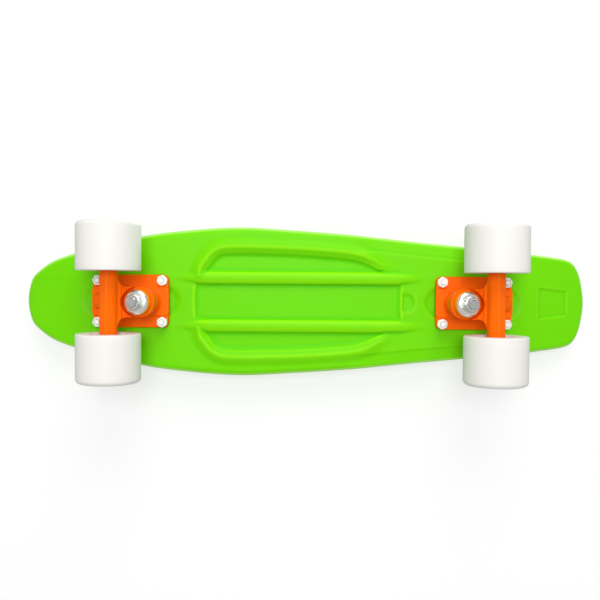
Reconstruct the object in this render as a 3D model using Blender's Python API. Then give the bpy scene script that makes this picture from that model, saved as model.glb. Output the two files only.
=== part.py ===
"""Mini cruiser skateboard: a moulded deck on two cast trucks with four wheels.

Metres, +Z up. The board stands on its wheels with its nose along +X, and the ground is z = 0.
Each truck is modelled in its own frame: the origin on the deck's pad over the middle of the
baseplate, +X outboard (towards the board's near end), +Y across, +Z up.
"""

from math import atan2, cos, hypot, pi, radians, sin, sqrt, tau

import bmesh
import bpy
from mathutils import Matrix, Vector

# ---------------------------------------------------------------- fits
GAP = 0.0003             # air left between pieces that touch
BOLT_CLEARANCE = 0.0004  # round a bolt in its hole

# ---------------------------------------------------------------- deck
DECK_LENGTH = 0.5715
DECK_WIDTH = 0.149
DECK_THICKNESS = 0.010
CONCAVE_RISE = 0.003     # height of the rails above the flat middle
CONCAVE_FLAT = 0.56      # share of the half width that stays flat
LOWER_EDGE_ROUND = 0.0045
UPPER_EDGE_ROUND = 0.0030
KICK_ANGLE = radians(19)
KICK_RADIUS = 0.060
NOSE_RADIUS = 0.150
END_MARGIN = 0.006       # flat deck left beyond each baseplate before the nose or tail bends
RIB_LENGTH = 0.240
RIB_TAPER = 0.024
RIB_WIDTH = 0.0136
RIB_HEIGHT = 0.0038
RIB_SPACING = 0.0482     # between the crests of the two ribs
RIB_SEGMENTS = 16

# Half of the deck's outline from the nose to the tail, as shares of half its length and width.
OUTLINE = (
    (1.000, 0.000), (0.983, 0.266), (0.952, 0.395), (0.895, 0.530), (0.790, 0.668),
    (0.581, 0.876), (0.412, 0.961), (0.240, 1.000), (0.073, 0.969), (-0.153, 0.908),
    (-0.378, 0.820), (-0.578, 0.748), (-0.806, 0.641), (-0.903, 0.600), (-0.945, 0.560),
    (-0.972, 0.455), (-0.990, 0.270), (-1.000, 0.000),
)
OUTLINE_STEPS = 3        # straight edges between two of those points

# ---------------------------------------------------------------- trucks
AXLE_SPACING = 0.363
AXLE_CENTRE_X = 0.0068   # middle of the axle spacing, towards the nose
TRUCK_HEIGHT = 0.046     # from the axle to the deck's pad

BASE_LENGTH = 0.0762
BASE_WIDTH = 0.0535
BASE_THICKNESS = 0.0055
BASE_CORNER = 0.0065
BASE_INSET = 0.0109      # middle of the baseplate inboard of the axle
SPINE_WIDTH = 0.025
SPINE_DEPTH = 0.0068     # from the pad to the spine's face
SPINE_CORNER = 0.004
SPINE_END = 0.0012       # baseplate left beyond each end of the spine
BOSS_WALL = 0.0012       # seat's edge beyond the upper bushing
BOSS_FLARE = 0.0028      # how far the boss widens down to the plate
BOSS_SINK = 0.001        # boss's foot below the pad, inside the plate
HOLES_ALONG = 0.0635
HOLES_ACROSS = 0.0413

KINGPIN_RADIUS = 0.00475
KINGPIN_LEAN = radians(6)
KINGPIN_SETBACK = 0.0265  # ring centre inboard of the axle
KINGPIN_HEAD_RADIUS = 0.0079
KINGPIN_HEAD_HEIGHT = 0.0055
KINGPIN_HEAD_COVER = 0.0014
KINGPIN_TIP = 0.0026     # thread past the nut
RING_DROP = 0.0315       # ring centre below the pad
RING_RADIUS = 0.0147
RING_BORE = 0.0088
RING_THICKNESS = 0.008
UPPER_BUSHING_HEIGHT = 0.0118
LOWER_BUSHING_HEIGHT = 0.0092
BUSHING_RADIUS = 0.0125
BUSHING_BULGE = 0.0010
CUP_WASHER_WALL = 0.0008
CUP_WASHER_THICKNESS = 0.0015
CUP_WASHER_RIM = 0.0006  # height of the washer's rim round the bushing's end
KINGPIN_TIP_CHAMFER = 0.0008
KINGPIN_NUT_FLATS = 0.0143
KINGPIN_NUT_HEIGHT = 0.0088
KINGPIN_NUT_COLLAR = 0.00067  # wall of the nut's round collar

PIVOT_REACH = 0.0175     # pivot point outboard of the axle
PIVOT_DROP = 0.0093      # pivot point below the pad
STEM_RADIUS = 0.0044
STEM_LENGTH = 0.0165
PIVOT_CUP_WALL = 0.0016
PIVOT_CUP_DEPTH = 0.0088
PIVOT_BOSS_WALL = 0.0030
PIVOT_BOSS_TOP = 0.0045  # housing above the pivot point, inside the plate

HANGER_WIDTH = 0.079
BEAM_RADIUS = 0.0083
BEAM_CHAMFER = 0.001
YOKE_ROOT_HALF = 0.0222  # half width of the yoke where it leaves the beam
YOKE_THICKNESS = 0.0072
NECK_ROOT_RADIUS = 0.0085
NECK_TOP_RADIUS = 0.0056
SWEPT_ROOM = 0.0012      # air round the cup washer where the yoke is cut away
TRIM_OVERLAP = 0.0004    # yoke left inside the ring so that the two join

# ---------------------------------------------------------------- wheels and running gear
AXLE_RADIUS = 0.004
AXLE_CHAMFER = 0.0008
AXLE_NUT_FLATS = 0.0127
AXLE_NUT_HEIGHT = 0.0062
AXLE_NUT_COLLAR = 0.00078
AXLE_TIP = 0.0014        # thread past the nut
WHEEL_RADIUS = 0.030
WHEEL_WIDTH = 0.046
WHEEL_LIP = 0.006
WHEEL_INNER_EDGE = 0.0012
WHEEL_MOUTH = 0.0170     # radius of the hub's opening at each face
SEAT_EDGE = 0.0006       # step round each bearing's seat
HUB_SHOULDER = 0.0086    # bore between the two bearings
BEARING_RADIUS = 0.011
BEARING_WIDTH = 0.007
BEARING_RECESS = 0.0004
BEARING_INNER_RING = 0.0022
BEARING_OUTER_RING = 0.0017
SPACER_LENGTH = 0.010
SPACER_WALL = 0.0013
WASHER_ROOM = 0.001      # between the hanger's end and the inner bearing
SPEED_WASHER_RADIUS = 0.0072
SPEED_WASHER_THICKNESS = 0.0007

# ---------------------------------------------------------------- mounting bolts
BOLT_RADIUS = 0.0024
BOLT_HEAD_RADIUS = 0.0047
BOLT_HEAD_HEIGHT = 0.0027
BOLT_HEAD_SINK = 0.0002  # head below the deck's face
BOLT_HEAD_EDGE = 0.0003  # straight edge of the head above its cone
BOLT_TIP_CHAMFER = 0.0006
BOLT_TIP = 0.0014        # thread past the nut
NUT_FLATS = 0.0095
NUT_HEIGHT = 0.0052
NUT_COLLAR = 0.0011

SEGMENTS = 32            # round a wheel
RING_SEGMENTS = 28       # round the hanger's ring and beam and the baseplate's bosses
PIN_SEGMENTS = 20        # round the kingpin, the pivot and what fits them
BEARING_SEGMENTS = 16
AXLE_SEGMENTS = 16
SMALL_SEGMENTS = 12      # round a fastener, a multiple of six for the hexagons

# ---------------------------------------------------------------- what follows from those sizes
PAD_Z = WHEEL_RADIUS + TRUCK_HEIGHT
UNDERSIDE = PAD_Z + GAP
BASE_OFFSET = AXLE_SPACING / 2 - BASE_INSET

AXLE = Vector((BASE_INSET, 0, -TRUCK_HEIGHT))
RING_CENTRE = Vector((BASE_INSET - KINGPIN_SETBACK, 0, -RING_DROP))
PIVOT = Vector((BASE_INSET + PIVOT_REACH, 0, -PIVOT_DROP))
STEERING = (PIVOT - RING_CENTRE).normalized()
KINGPIN_UP = Vector((-sin(KINGPIN_LEAN), 0, cos(KINGPIN_LEAN)))

SEAT = RING_THICKNESS / 2 + UPPER_BUSHING_HEIGHT + 2 * GAP  # baseplate's seat above the ring's centre
PAD_ON_KINGPIN = RING_DROP / cos(KINGPIN_LEAN)
BUSHING_END_RADIUS = BUSHING_RADIUS - BUSHING_BULGE
CUP_WASHER_RADIUS = BUSHING_END_RADIUS + GAP + CUP_WASHER_WALL
HEAD_TOP = PAD_ON_KINGPIN - KINGPIN_HEAD_COVER
HEAD_BOTTOM = HEAD_TOP - KINGPIN_HEAD_HEIGHT
LOWER_BUSHING_TOP = -RING_THICKNESS / 2 - GAP
CUP_WASHER_TOP = LOWER_BUSHING_TOP - LOWER_BUSHING_HEIGHT - GAP
KINGPIN_NUT_TOP = CUP_WASHER_TOP - CUP_WASHER_THICKNESS - GAP
KINGPIN_END = KINGPIN_NUT_TOP - KINGPIN_NUT_HEIGHT - KINGPIN_TIP

BEARING_SEAT = SPACER_LENGTH / 2            # inner face of each bearing from the wheel's middle
WHEEL_Y = HANGER_WIDTH / 2 + WASHER_ROOM + BEARING_WIDTH + BEARING_SEAT
BEARING_OUTER_FACE = BEARING_SEAT + BEARING_WIDTH
SPEED_WASHER_Y = WHEEL_Y + BEARING_OUTER_FACE + GAP
AXLE_NUT_Y = SPEED_WASHER_Y + SPEED_WASHER_THICKNESS + GAP
AXLE_END = AXLE_NUT_Y + AXLE_NUT_HEIGHT + AXLE_TIP


# ---------------------------------------------------------------- tools
def clear_scene():
    for obj in list(bpy.data.objects):
        bpy.data.objects.remove(obj, do_unlink=True)


def finish(name, colour, roughness, metallic):
    """A Principled material with one plain finish."""
    material = bpy.data.materials.new(name)
    material.use_nodes = True
    shader = material.node_tree.nodes["Principled BSDF"]
    shader.inputs["Base Color"].default_value = (*colour, 1)
    shader.inputs["Roughness"].default_value = roughness
    shader.inputs["Metallic"].default_value = metallic
    return material


def mesh_from(bm, name):
    """Turn a finished bmesh into a mesh with its faces pointing out."""
    bmesh.ops.remove_doubles(bm, verts=bm.verts, dist=1e-7)
    bmesh.ops.recalc_face_normals(bm, faces=bm.faces)
    mesh = bpy.data.meshes.new(name)
    bm.to_mesh(mesh)
    bm.free()
    return mesh


def turned(name, profile, segments=SEGMENTS):
    """Spin a section of (radius, height) points about Z: solid if it starts and ends on the axis."""
    bm = bmesh.new()
    verts = [bm.verts.new((radius, 0, height)) for radius, height in profile]
    edges = [bm.edges.new(pair) for pair in zip(verts, verts[1:])]
    if profile[0][0] > 0:
        edges.append(bm.edges.new((verts[-1], verts[0])))
    bmesh.ops.spin(
        bm, geom=verts + edges, cent=(0, 0, 0), axis=(0, 0, 1), angle=tau, steps=segments, use_merge=True
    )
    return mesh_from(bm, name)


def extruded(name, outline, bottom, top):
    """A straight-sided solid between two heights over an outline of (x, y) points."""
    bm = bmesh.new()
    face = bm.faces.new([bm.verts.new((x, y, bottom)) for x, y in outline])
    new = bmesh.ops.extrude_face_region(bm, geom=[face])["geom"]
    lifted = [item for item in new if isinstance(item, bmesh.types.BMVert)]
    bmesh.ops.translate(bm, verts=lifted, vec=(0, 0, top - bottom))
    return mesh_from(bm, name)


def arc(centre, radius, start, end, steps):
    """Points (x, y) along an arc between two angles, both ends included."""
    angles = [start + (end - start) * step / steps for step in range(steps + 1)]
    return [(centre[0] + radius * cos(a), centre[1] + radius * sin(a)) for a in angles]


def rounded_rectangle(length, width, corner, steps=4):
    """Outline of a rectangle about the origin with round corners."""
    x, y = length / 2 - corner, width / 2 - corner
    corners = ((x, y), (-x, y), (-x, -y), (x, -y))
    return [
        point
        for turn, centre in enumerate(corners)
        for point in arc(centre, corner, turn * pi / 2, (turn + 1) * pi / 2, steps)
    ]


def moved(mesh, location=(0, 0, 0), tilt=0.0, scale=(1, 1, 1)):
    """Place a mesh in its parent's frame: scaled, then turned about Y, then shifted."""
    turn = Matrix.Rotation(tilt, 4, "Y") @ Matrix.Diagonal((*scale, 1))
    mesh.transform(Matrix.Translation(location) @ turn)
    return mesh


def combined(name, base, steps):
    """Apply exact Booleans to a mesh in order. Each step is an operation and the mesh it uses."""
    body = bpy.data.objects.new(name, base)
    bpy.context.collection.objects.link(body)
    helpers = []
    for operation, mesh in steps:
        helper = bpy.data.objects.new(f"{name}_{operation.lower()}", mesh)
        bpy.context.collection.objects.link(helper)
        modifier = body.modifiers.new(operation, "BOOLEAN")
        modifier.operation = operation
        modifier.object = helper
        modifier.solver = "EXACT"
        helpers.append(helper)
    bpy.context.view_layer.update()
    graph = bpy.context.evaluated_depsgraph_get()
    result = bpy.data.meshes.new_from_object(body.evaluated_get(graph))
    for obj in (body, *helpers):
        bpy.data.objects.remove(obj, do_unlink=True)
    bm = bmesh.new()
    bm.from_mesh(result)
    return mesh_from(bm, name)


def add(name, mesh, material, parent, location=(0, 0, 0), rotation=(0, 0, 0)):
    """Make one object of the model, shaded smooth with its sharp edges kept."""
    piece = mesh.copy()
    piece.name = name
    piece.materials.clear()
    piece.materials.append(material)
    piece.shade_smooth()
    piece.set_sharp_from_angle(angle=radians(35))
    obj = bpy.data.objects.new(name, piece)
    bpy.context.collection.objects.link(obj)
    obj.location = location
    obj.rotation_euler = rotation
    obj.parent = parent
    return obj


def empty(name, parent=None, location=(0, 0, 0), rotation=(0, 0, 0)):
    """An axis that pieces are parented to."""
    obj = bpy.data.objects.new(name, None)
    bpy.context.collection.objects.link(obj)
    obj.location = location
    obj.rotation_euler = rotation
    obj.parent = parent
    return obj


# ---------------------------------------------------------------- shared round pieces
def cylinder(name, radius, bottom, top, segments=PIN_SEGMENTS):
    """A solid cylinder about Z."""
    return turned(name, [(0, bottom), (radius, bottom), (radius, top), (0, top)], segments)


def bored_cylinder(name, radius, bore, length, segments=SMALL_SEGMENTS):
    """A plain ring from z = 0 up."""
    return turned(name, [(bore, 0), (radius, 0), (radius, length), (bore, length)], segments)


def hexagon_nut(name, flats, bore, collar_wall, height):
    """A lock nut standing on z = 0, hexagonal below and with a round collar on top."""
    apothem = flats / 2
    collar = bore + collar_wall
    hexagon_top = height * 0.72
    profile = [
        (bore, 0), (apothem, 0), (apothem, hexagon_top),
        (collar, hexagon_top), (collar, height), (bore, height),
    ]
    nut = turned(name, profile, SMALL_SEGMENTS)
    for vertex in nut.vertices:
        radius = hypot(vertex.co.x, vertex.co.y)
        if radius > apothem * 0.99:
            off_flat = atan2(vertex.co.y, vertex.co.x) % (tau / 6) - tau / 12
            vertex.co.x /= cos(off_flat)
            vertex.co.y /= cos(off_flat)
    return nut


# ---------------------------------------------------------------- deck
def outline_half():
    """The deck's edge on the +Y side from nose to tail, smooth through the points of OUTLINE."""
    points = [Vector((x * DECK_LENGTH / 2, y * DECK_WIDTH / 2)) for x, y in OUTLINE]
    mirrored = [Vector((p.x, -p.y)) for p in points]
    chain = [mirrored[1], *points, mirrored[-2]]
    smooth = []
    for before, start, end, after in zip(chain, chain[1:], chain[2:], chain[3:]):
        span = (end - start).length
        leave = (end - before) * span / ((end - start).length + (start - before).length)
        arrive = (after - start) * span / ((after - end).length + (end - start).length)
        for step in range(OUTLINE_STEPS):
            t = step / OUTLINE_STEPS
            smooth.append(
                start * (2 * t**3 - 3 * t**2 + 1) + leave * (t**3 - 2 * t**2 + t)
                + end * (-2 * t**3 + 3 * t**2) + arrive * (t**3 - t**2)
            )
    smooth.append(points[-1])
    return smooth


def half_width(edge, x):
    """Half the deck's width at x, read from its outline."""
    for start, end in zip(edge, edge[1:]):
        if end.x <= x <= start.x:
            share = (start.x - x) / (start.x - end.x) if start.x > end.x else 0
            return start.y + (end.y - start.y) * share
    return 0.0


def rise(x):
    """How far the deck bends up at x: the kicked tail, and a little at the nose."""
    tail = kick_start() - x
    nose = x - nose_start()
    arc_length = KICK_RADIUS * sin(KICK_ANGLE)
    if tail > arc_length:
        return KICK_RADIUS * (1 - cos(KICK_ANGLE)) + (tail - arc_length) * sin(KICK_ANGLE) / cos(KICK_ANGLE)
    if tail > 0:
        return KICK_RADIUS - sqrt(KICK_RADIUS**2 - tail**2)
    if nose > 0:
        return NOSE_RADIUS - sqrt(NOSE_RADIUS**2 - nose**2)
    return 0.0


def kick_start():
    return AXLE_CENTRE_X - BASE_OFFSET - BASE_LENGTH / 2 - END_MARGIN


def nose_start():
    return AXLE_CENTRE_X + BASE_OFFSET + BASE_LENGTH / 2 + END_MARGIN


def concave(across):
    """How far the rails stand above the flat middle, for a share of the half width."""
    beyond = max(0.0, (abs(across) - CONCAVE_FLAT) / (1 - CONCAVE_FLAT))
    return CONCAVE_RISE * beyond**2


def bolt_places():
    """The four mounting bolts of one truck in its own frame."""
    return [(x * HOLES_ALONG / 2, y * HOLES_ACROSS / 2) for x in (1, -1) for y in (1, -1)]


def deck_top(edge, x, y):
    width = half_width(edge, x)
    return UNDERSIDE + DECK_THICKNESS + rise(x) + concave(y / width if width else 0)


def bolt_hole(top):
    """A countersunk hole through the deck, in the deck's frame, for a bolt whose head is at `top`."""
    shank = BOLT_RADIUS + BOLT_CLEARANCE
    head = BOLT_HEAD_RADIUS + BOLT_CLEARANCE
    slope = head - shank
    above = CONCAVE_RISE + GAP
    return turned(
        "bolt_hole",
        [
            (0, UNDERSIDE - DECK_THICKNESS), (shank, UNDERSIDE - DECK_THICKNESS),
            (shank, top - BOLT_HEAD_HEIGHT - GAP), (shank + slope, top - GAP),
            (shank + slope, top + above), (0, top + above),
        ],
        SMALL_SEGMENTS,
    )


def rib():
    """One stiffening rib: a spindle along X, half sunk in the underside."""
    straight = RIB_LENGTH / 2 - RIB_TAPER
    shoulder = straight + RIB_TAPER * 0.55
    profile = [
        (0, -RIB_LENGTH / 2), (RIB_WIDTH * 0.3, -shoulder), (RIB_WIDTH / 2, -straight),
        (RIB_WIDTH / 2, straight), (RIB_WIDTH * 0.3, shoulder), (0, RIB_LENGTH / 2),
    ]
    return moved(turned("rib", profile, RIB_SEGMENTS), tilt=pi / 2)


def deck_mesh(edge, trucks):
    outline = [(p.x, p.y) for p in edge] + [(p.x, -p.y) for p in reversed(edge[1:-1])]
    bm = bmesh.new()
    bm.from_mesh(extruded("slab", outline, 0, DECK_THICKNESS))
    for height, size, segments in ((0, LOWER_EDGE_ROUND, 3), (DECK_THICKNESS, UPPER_EDGE_ROUND, 2)):
        rim = [e for e in bm.edges if all(abs(v.co.z - height) < 1e-6 for v in e.verts)]
        bmesh.ops.bevel(
            bm, geom=rim, offset=size, offset_type="OFFSET", segments=segments, profile=0.5, affect="EDGES"
        )
    cuts = [(Vector((x, 0, 0)), Vector((1, 0, 0))) for x in bend_stations()]
    cuts += [(Vector((0, y * DECK_WIDTH / 2, 0)), Vector((0, 1, 0))) for y in (-0.74, -0.42, 0.42, 0.74)]
    for place, normal in cuts:
        geometry = bm.verts[:] + bm.edges[:] + bm.faces[:]
        bmesh.ops.bisect_plane(bm, geom=geometry, dist=1e-6, plane_co=place, plane_no=normal)
    for vertex in bm.verts:
        x, y = vertex.co.x, vertex.co.y
        width = max(half_width(edge, x), abs(y), 1e-6)
        share = vertex.co.z / DECK_THICKNESS
        vertex.co.z += UNDERSIDE + rise(x) + share * concave(y / width)
    slab = mesh_from(bm, "deck_slab")
    flattened = (1, 1, RIB_HEIGHT * 2 / RIB_WIDTH)
    ribs = [
        ("UNION", moved(rib(), (AXLE_CENTRE_X, side * RIB_SPACING / 2, UNDERSIDE), scale=flattened))
        for side in (1, -1)
    ]
    holes = [("DIFFERENCE", moved(bolt_hole(top), (x, y, 0))) for x, y, top in bolt_heads(edge, trucks)]
    return combined("deck", slab, ribs + holes)


def bend_stations():
    """Where the slab is cut across, so that it can bend: close together at the ends."""
    tail, nose = kick_start(), nose_start()
    tail_end, nose_end = -DECK_LENGTH / 2, DECK_LENGTH / 2
    tail_steps = [tail + (tail_end - tail) * step / 7 for step in range(7)]
    nose_steps = [nose + (nose_end - nose) * step / 4 for step in range(4)]
    flat = [tail + (nose - tail) * step / 5 for step in range(1, 5)]
    return tail_steps + flat + nose_steps


def bolt_heads(edge, trucks):
    """Each mounting bolt's place in the board and the height of its head."""
    heads = []
    for _, centre_x, facing in trucks:
        for x, y in bolt_places():
            place = (centre_x + facing * x, facing * y)
            heads.append((*place, deck_top(edge, *place) - BOLT_HEAD_SINK))
    return heads


# ---------------------------------------------------------------- trucks
def on_kingpin(height):
    """The point on the kingpin's axis at a height above the ring's centre."""
    return RING_CENTRE + KINGPIN_UP * height


def along_kingpin(mesh, height=0.0):
    """Place a mesh turned about Z on the kingpin's axis."""
    return moved(mesh, on_kingpin(height), -KINGPIN_LEAN)


def steering_tilt():
    return atan2(STEERING.x, STEERING.z)


def along_steering(mesh):
    """Place a mesh turned about Z on the steering axis, with its zero at the pivot point."""
    return moved(mesh, PIVOT, steering_tilt())


def pivot_cup_radius():
    return STEM_RADIUS + GAP + PIVOT_CUP_WALL


def baseplate_mesh():
    """Cast plate with a raised spine, a seat for the bushings and, at the other end, the pivot's housing."""
    plate = extruded("plate", rounded_rectangle(BASE_LENGTH, BASE_WIDTH, BASE_CORNER), -BASE_THICKNESS, 0)
    spine_outline = rounded_rectangle(BASE_LENGTH - 2 * SPINE_END, SPINE_WIDTH, SPINE_CORNER)
    spine = extruded("spine", spine_outline, -SPINE_DEPTH, -GAP)
    foot = PAD_ON_KINGPIN - BOSS_SINK
    seat_radius = BUSHING_RADIUS + BOSS_WALL
    boss = turned(
        "boss", [(0, SEAT), (seat_radius, SEAT), (seat_radius + BOSS_FLARE, foot), (0, foot)], RING_SEGMENTS
    )
    housing_radius = pivot_cup_radius() + GAP + PIVOT_BOSS_WALL
    housing = turned(
        "housing",
        [
            (0, GAP - PIVOT_CUP_DEPTH), (housing_radius, GAP - PIVOT_CUP_DEPTH),
            (housing_radius, PIVOT_BOSS_TOP), (0, PIVOT_BOSS_TOP),
        ],
        RING_SEGMENTS,
    )
    above = extruded("above", rounded_rectangle(BASE_LENGTH, BASE_WIDTH, BASE_CORNER, 2), 0, BASE_LENGTH / 2)
    cup_hole = turned(
        "cup_hole",
        [
            (0, -2 * PIVOT_CUP_DEPTH), (pivot_cup_radius() + GAP, -2 * PIVOT_CUP_DEPTH),
            (pivot_cup_radius() + GAP, PIVOT_CUP_WALL + 3 * GAP), (0, PIVOT_CUP_WALL + 3 * GAP),
        ],
        PIN_SEGMENTS,
    )
    pin_hole = turned(
        "pin_hole",
        [
            (0, 0), (KINGPIN_RADIUS + GAP, 0), (KINGPIN_RADIUS + GAP, HEAD_BOTTOM - GAP),
            (KINGPIN_HEAD_RADIUS + GAP, HEAD_BOTTOM - GAP), (KINGPIN_HEAD_RADIUS + GAP, 2 * HEAD_TOP),
            (0, 2 * HEAD_TOP),
        ],
        PIN_SEGMENTS,
    )
    steps = [
        ("UNION", spine), ("UNION", along_kingpin(boss)), ("UNION", along_steering(housing)),
        ("DIFFERENCE", above), ("DIFFERENCE", along_steering(cup_hole)),
        ("DIFFERENCE", along_kingpin(pin_hole)),
    ]
    for x, y in bolt_places():
        radius = BOLT_RADIUS + BOLT_CLEARANCE
        hole = cylinder("hole", radius, -TRUCK_HEIGHT, BASE_THICKNESS, SMALL_SEGMENTS)
        steps.append(("DIFFERENCE", moved(hole, (x, y, 0))))
    return combined("baseplate", plate, steps)


def yoke_outline():
    """Half-symmetric plan of the web from the axle to the ring: (distance from the axle, across)."""
    run = hypot(KINGPIN_SETBACK, TRUCK_HEIGHT - RING_DROP)
    fillet = YOKE_ROOT_HALF - RING_RADIUS * 0.98
    corner = arc((BEAM_RADIUS + fillet, YOKE_ROOT_HALF), fillet, pi, 1.5 * pi, 5)
    half = [(0, YOKE_ROOT_HALF), *corner, (run, RING_RADIUS * 0.98)]
    return half + [(x, -y) for x, y in reversed(half)]


def hanger_mesh():
    """Cast hanger: the beam round the axle, the web to the kingpin ring, and the neck to the pivot stem."""
    half = HANGER_WIDTH / 2
    beam_profile = [
        (0, -half), (BEAM_RADIUS - BEAM_CHAMFER, -half), (BEAM_RADIUS, -half + BEAM_CHAMFER),
        (BEAM_RADIUS, half - BEAM_CHAMFER), (BEAM_RADIUS - BEAM_CHAMFER, half), (0, half),
    ]
    beam = turned("beam", beam_profile, RING_SEGMENTS)
    beam.transform(Matrix.Translation(AXLE) @ Matrix.Rotation(pi / 2, 4, "X"))

    side = RING_THICKNESS / 2
    ring = turned("ring", [(0, -side), (RING_RADIUS, -side), (RING_RADIUS, side), (0, side)], RING_SEGMENTS)

    yoke = extruded("yoke", yoke_outline(), -YOKE_THICKNESS / 2, YOKE_THICKNESS / 2)
    slope = atan2(TRUCK_HEIGHT - RING_DROP, KINGPIN_SETBACK)
    yoke.transform(Matrix.Translation(AXLE) @ Matrix.Rotation(slope, 4, "Y") @ Matrix.Rotation(pi, 4, "Z"))

    root = AXLE + Vector((-BEAM_RADIUS * 0.2, 0, 0))
    top = PIVOT - STEERING * (PIVOT_CUP_DEPTH + NECK_TOP_RADIUS + 2 * GAP)
    neck_line = top - root
    reach = neck_line.length
    neck = turned("neck", [(0, 0), (NECK_ROOT_RADIUS, 0), (NECK_TOP_RADIUS, reach), (0, reach)], PIN_SEGMENTS)
    moved(neck, root, atan2(neck_line.x, neck_line.z))

    tip = PIVOT_CUP_WALL * 0.3
    stem_profile = [
        (0, -STEM_LENGTH), (STEM_RADIUS, -STEM_LENGTH), (STEM_RADIUS, tip - STEM_RADIUS * 0.5),
        (STEM_RADIUS * 0.6, tip), (0, tip),
    ]
    stem = turned("stem", stem_profile, PIN_SEGMENTS)

    room = LOWER_BUSHING_HEIGHT + CUP_WASHER_THICKNESS + KINGPIN_NUT_HEIGHT
    swept = CUP_WASHER_RADIUS + BUSHING_BULGE + SWEPT_ROOM
    trim = side - TRIM_OVERLAP
    below = cylinder("below", swept, -side - room, -trim)
    above = cylinder("above", swept, trim, side + room)
    bore = cylinder("bore", RING_BORE, -2 * side, 2 * side)
    axle_bore = cylinder("axle_bore", AXLE_RADIUS + GAP, -2 * half, 2 * half, AXLE_SEGMENTS)
    axle_bore.transform(Matrix.Translation(AXLE) @ Matrix.Rotation(pi / 2, 4, "X"))

    steps = [
        ("UNION", yoke), ("UNION", neck), ("UNION", along_steering(stem)),
        ("DIFFERENCE", along_kingpin(below)), ("DIFFERENCE", along_kingpin(above)),
        ("UNION", along_kingpin(ring)), ("DIFFERENCE", along_kingpin(bore)), ("DIFFERENCE", axle_bore),
    ]
    return moved(combined("hanger", beam, steps), -PIVOT)


def bushing(name, height):
    """A urethane barrel that stands on z = 0 round the kingpin."""
    bore, edge = KINGPIN_RADIUS + GAP, BUSHING_END_RADIUS
    profile = [
        (bore, 0), (edge, 0), (BUSHING_RADIUS, height * 0.3), (BUSHING_RADIUS, height * 0.7),
        (edge, height), (bore, height),
    ]
    return turned(name, profile, PIN_SEGMENTS)


def pivot_cup():
    """The urethane cup round the pivot stem, its zero at the pivot point."""
    inner, outer = STEM_RADIUS + GAP, pivot_cup_radius()
    floor = PIVOT_CUP_WALL * 0.3 + GAP
    top = floor + PIVOT_CUP_WALL * 0.7
    profile = [
        (0, floor), (inner, floor), (inner, -PIVOT_CUP_DEPTH),
        (outer, -PIVOT_CUP_DEPTH), (outer, top), (0, top),
    ]
    return turned("pivot_cup", profile, PIN_SEGMENTS)


def kingpin():
    """The kingpin bolt, its zero at the ring's centre."""
    profile = [
        (0, KINGPIN_END), (KINGPIN_RADIUS * 0.85, KINGPIN_END),
        (KINGPIN_RADIUS, KINGPIN_END + KINGPIN_TIP_CHAMFER), (KINGPIN_RADIUS, HEAD_BOTTOM),
        (KINGPIN_HEAD_RADIUS, HEAD_BOTTOM), (KINGPIN_HEAD_RADIUS, HEAD_TOP), (0, HEAD_TOP),
    ]
    return turned("kingpin", profile, PIN_SEGMENTS)


def cup_washer():
    """A dished washer whose rim stands up round the road-side bushing's end, its seat at z = 0."""
    bore, thick = KINGPIN_RADIUS + GAP, CUP_WASHER_THICKNESS
    inside = CUP_WASHER_RADIUS - CUP_WASHER_WALL
    profile = [
        (bore, -thick), (inside, -thick), (CUP_WASHER_RADIUS, -thick * 0.3),
        (CUP_WASHER_RADIUS, CUP_WASHER_RIM), (inside, CUP_WASHER_RIM), (inside, 0), (bore, 0),
    ]
    return turned("cup_washer", profile, PIN_SEGMENTS)


# ---------------------------------------------------------------- wheels and running gear
def wheel():
    """A wheel turned about Z, its middle at zero and its outer face up, with a seat for each bearing."""
    half = WHEEL_WIDTH / 2
    seat_radius = BEARING_RADIUS + GAP
    seat_end = BEARING_OUTER_FACE + GAP
    shoulder = BEARING_SEAT - GAP
    lip = arc((WHEEL_RADIUS - WHEEL_LIP, half - WHEEL_LIP), WHEEL_LIP, 0, pi / 2, 3)
    profile = [
        (WHEEL_MOUTH, -half), (WHEEL_RADIUS - WHEEL_INNER_EDGE, -half),
        (WHEEL_RADIUS, -half + WHEEL_INNER_EDGE), *lip,
        (WHEEL_MOUTH, half), (seat_radius + SEAT_EDGE, seat_end), (seat_radius, seat_end),
        (seat_radius, shoulder), (HUB_SHOULDER, shoulder), (HUB_SHOULDER, -shoulder),
        (seat_radius, -shoulder), (seat_radius, -seat_end), (seat_radius + SEAT_EDGE, -seat_end),
    ]
    return turned("wheel", profile)


def bearing():
    """A ball bearing from z = 0 up, with the recess of its shield in the upper face."""
    bore = AXLE_RADIUS + GAP
    inner, outer = bore + BEARING_INNER_RING, BEARING_RADIUS - BEARING_OUTER_RING
    top, deep = BEARING_WIDTH, BEARING_WIDTH - BEARING_RECESS
    profile = [
        (bore, 0), (BEARING_RADIUS, 0), (BEARING_RADIUS, top), (outer, top), (outer, deep), (inner, deep),
        (inner, top), (bore, top),
    ]
    return turned("bearing", profile, BEARING_SEGMENTS)


def axle():
    """The steel axle through hanger and wheels, along Z about its middle."""
    tip = AXLE_CHAMFER
    profile = [
        (0, -AXLE_END), (AXLE_RADIUS - tip, -AXLE_END), (AXLE_RADIUS, tip - AXLE_END),
        (AXLE_RADIUS, AXLE_END - tip), (AXLE_RADIUS - tip, AXLE_END), (0, AXLE_END),
    ]
    return turned("axle", profile, AXLE_SEGMENTS)


def mount_bolt(length):
    """A countersunk bolt hanging from its head's face at z = 0."""
    profile = [
        (0, -length), (BOLT_RADIUS * 0.8, -length), (BOLT_RADIUS, -length + BOLT_TIP_CHAMFER),
        (BOLT_RADIUS, -BOLT_HEAD_HEIGHT), (BOLT_HEAD_RADIUS, -BOLT_HEAD_EDGE), (BOLT_HEAD_RADIUS, 0), (0, 0),
    ]
    return turned("mount_bolt", profile, SMALL_SEGMENTS)


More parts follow.
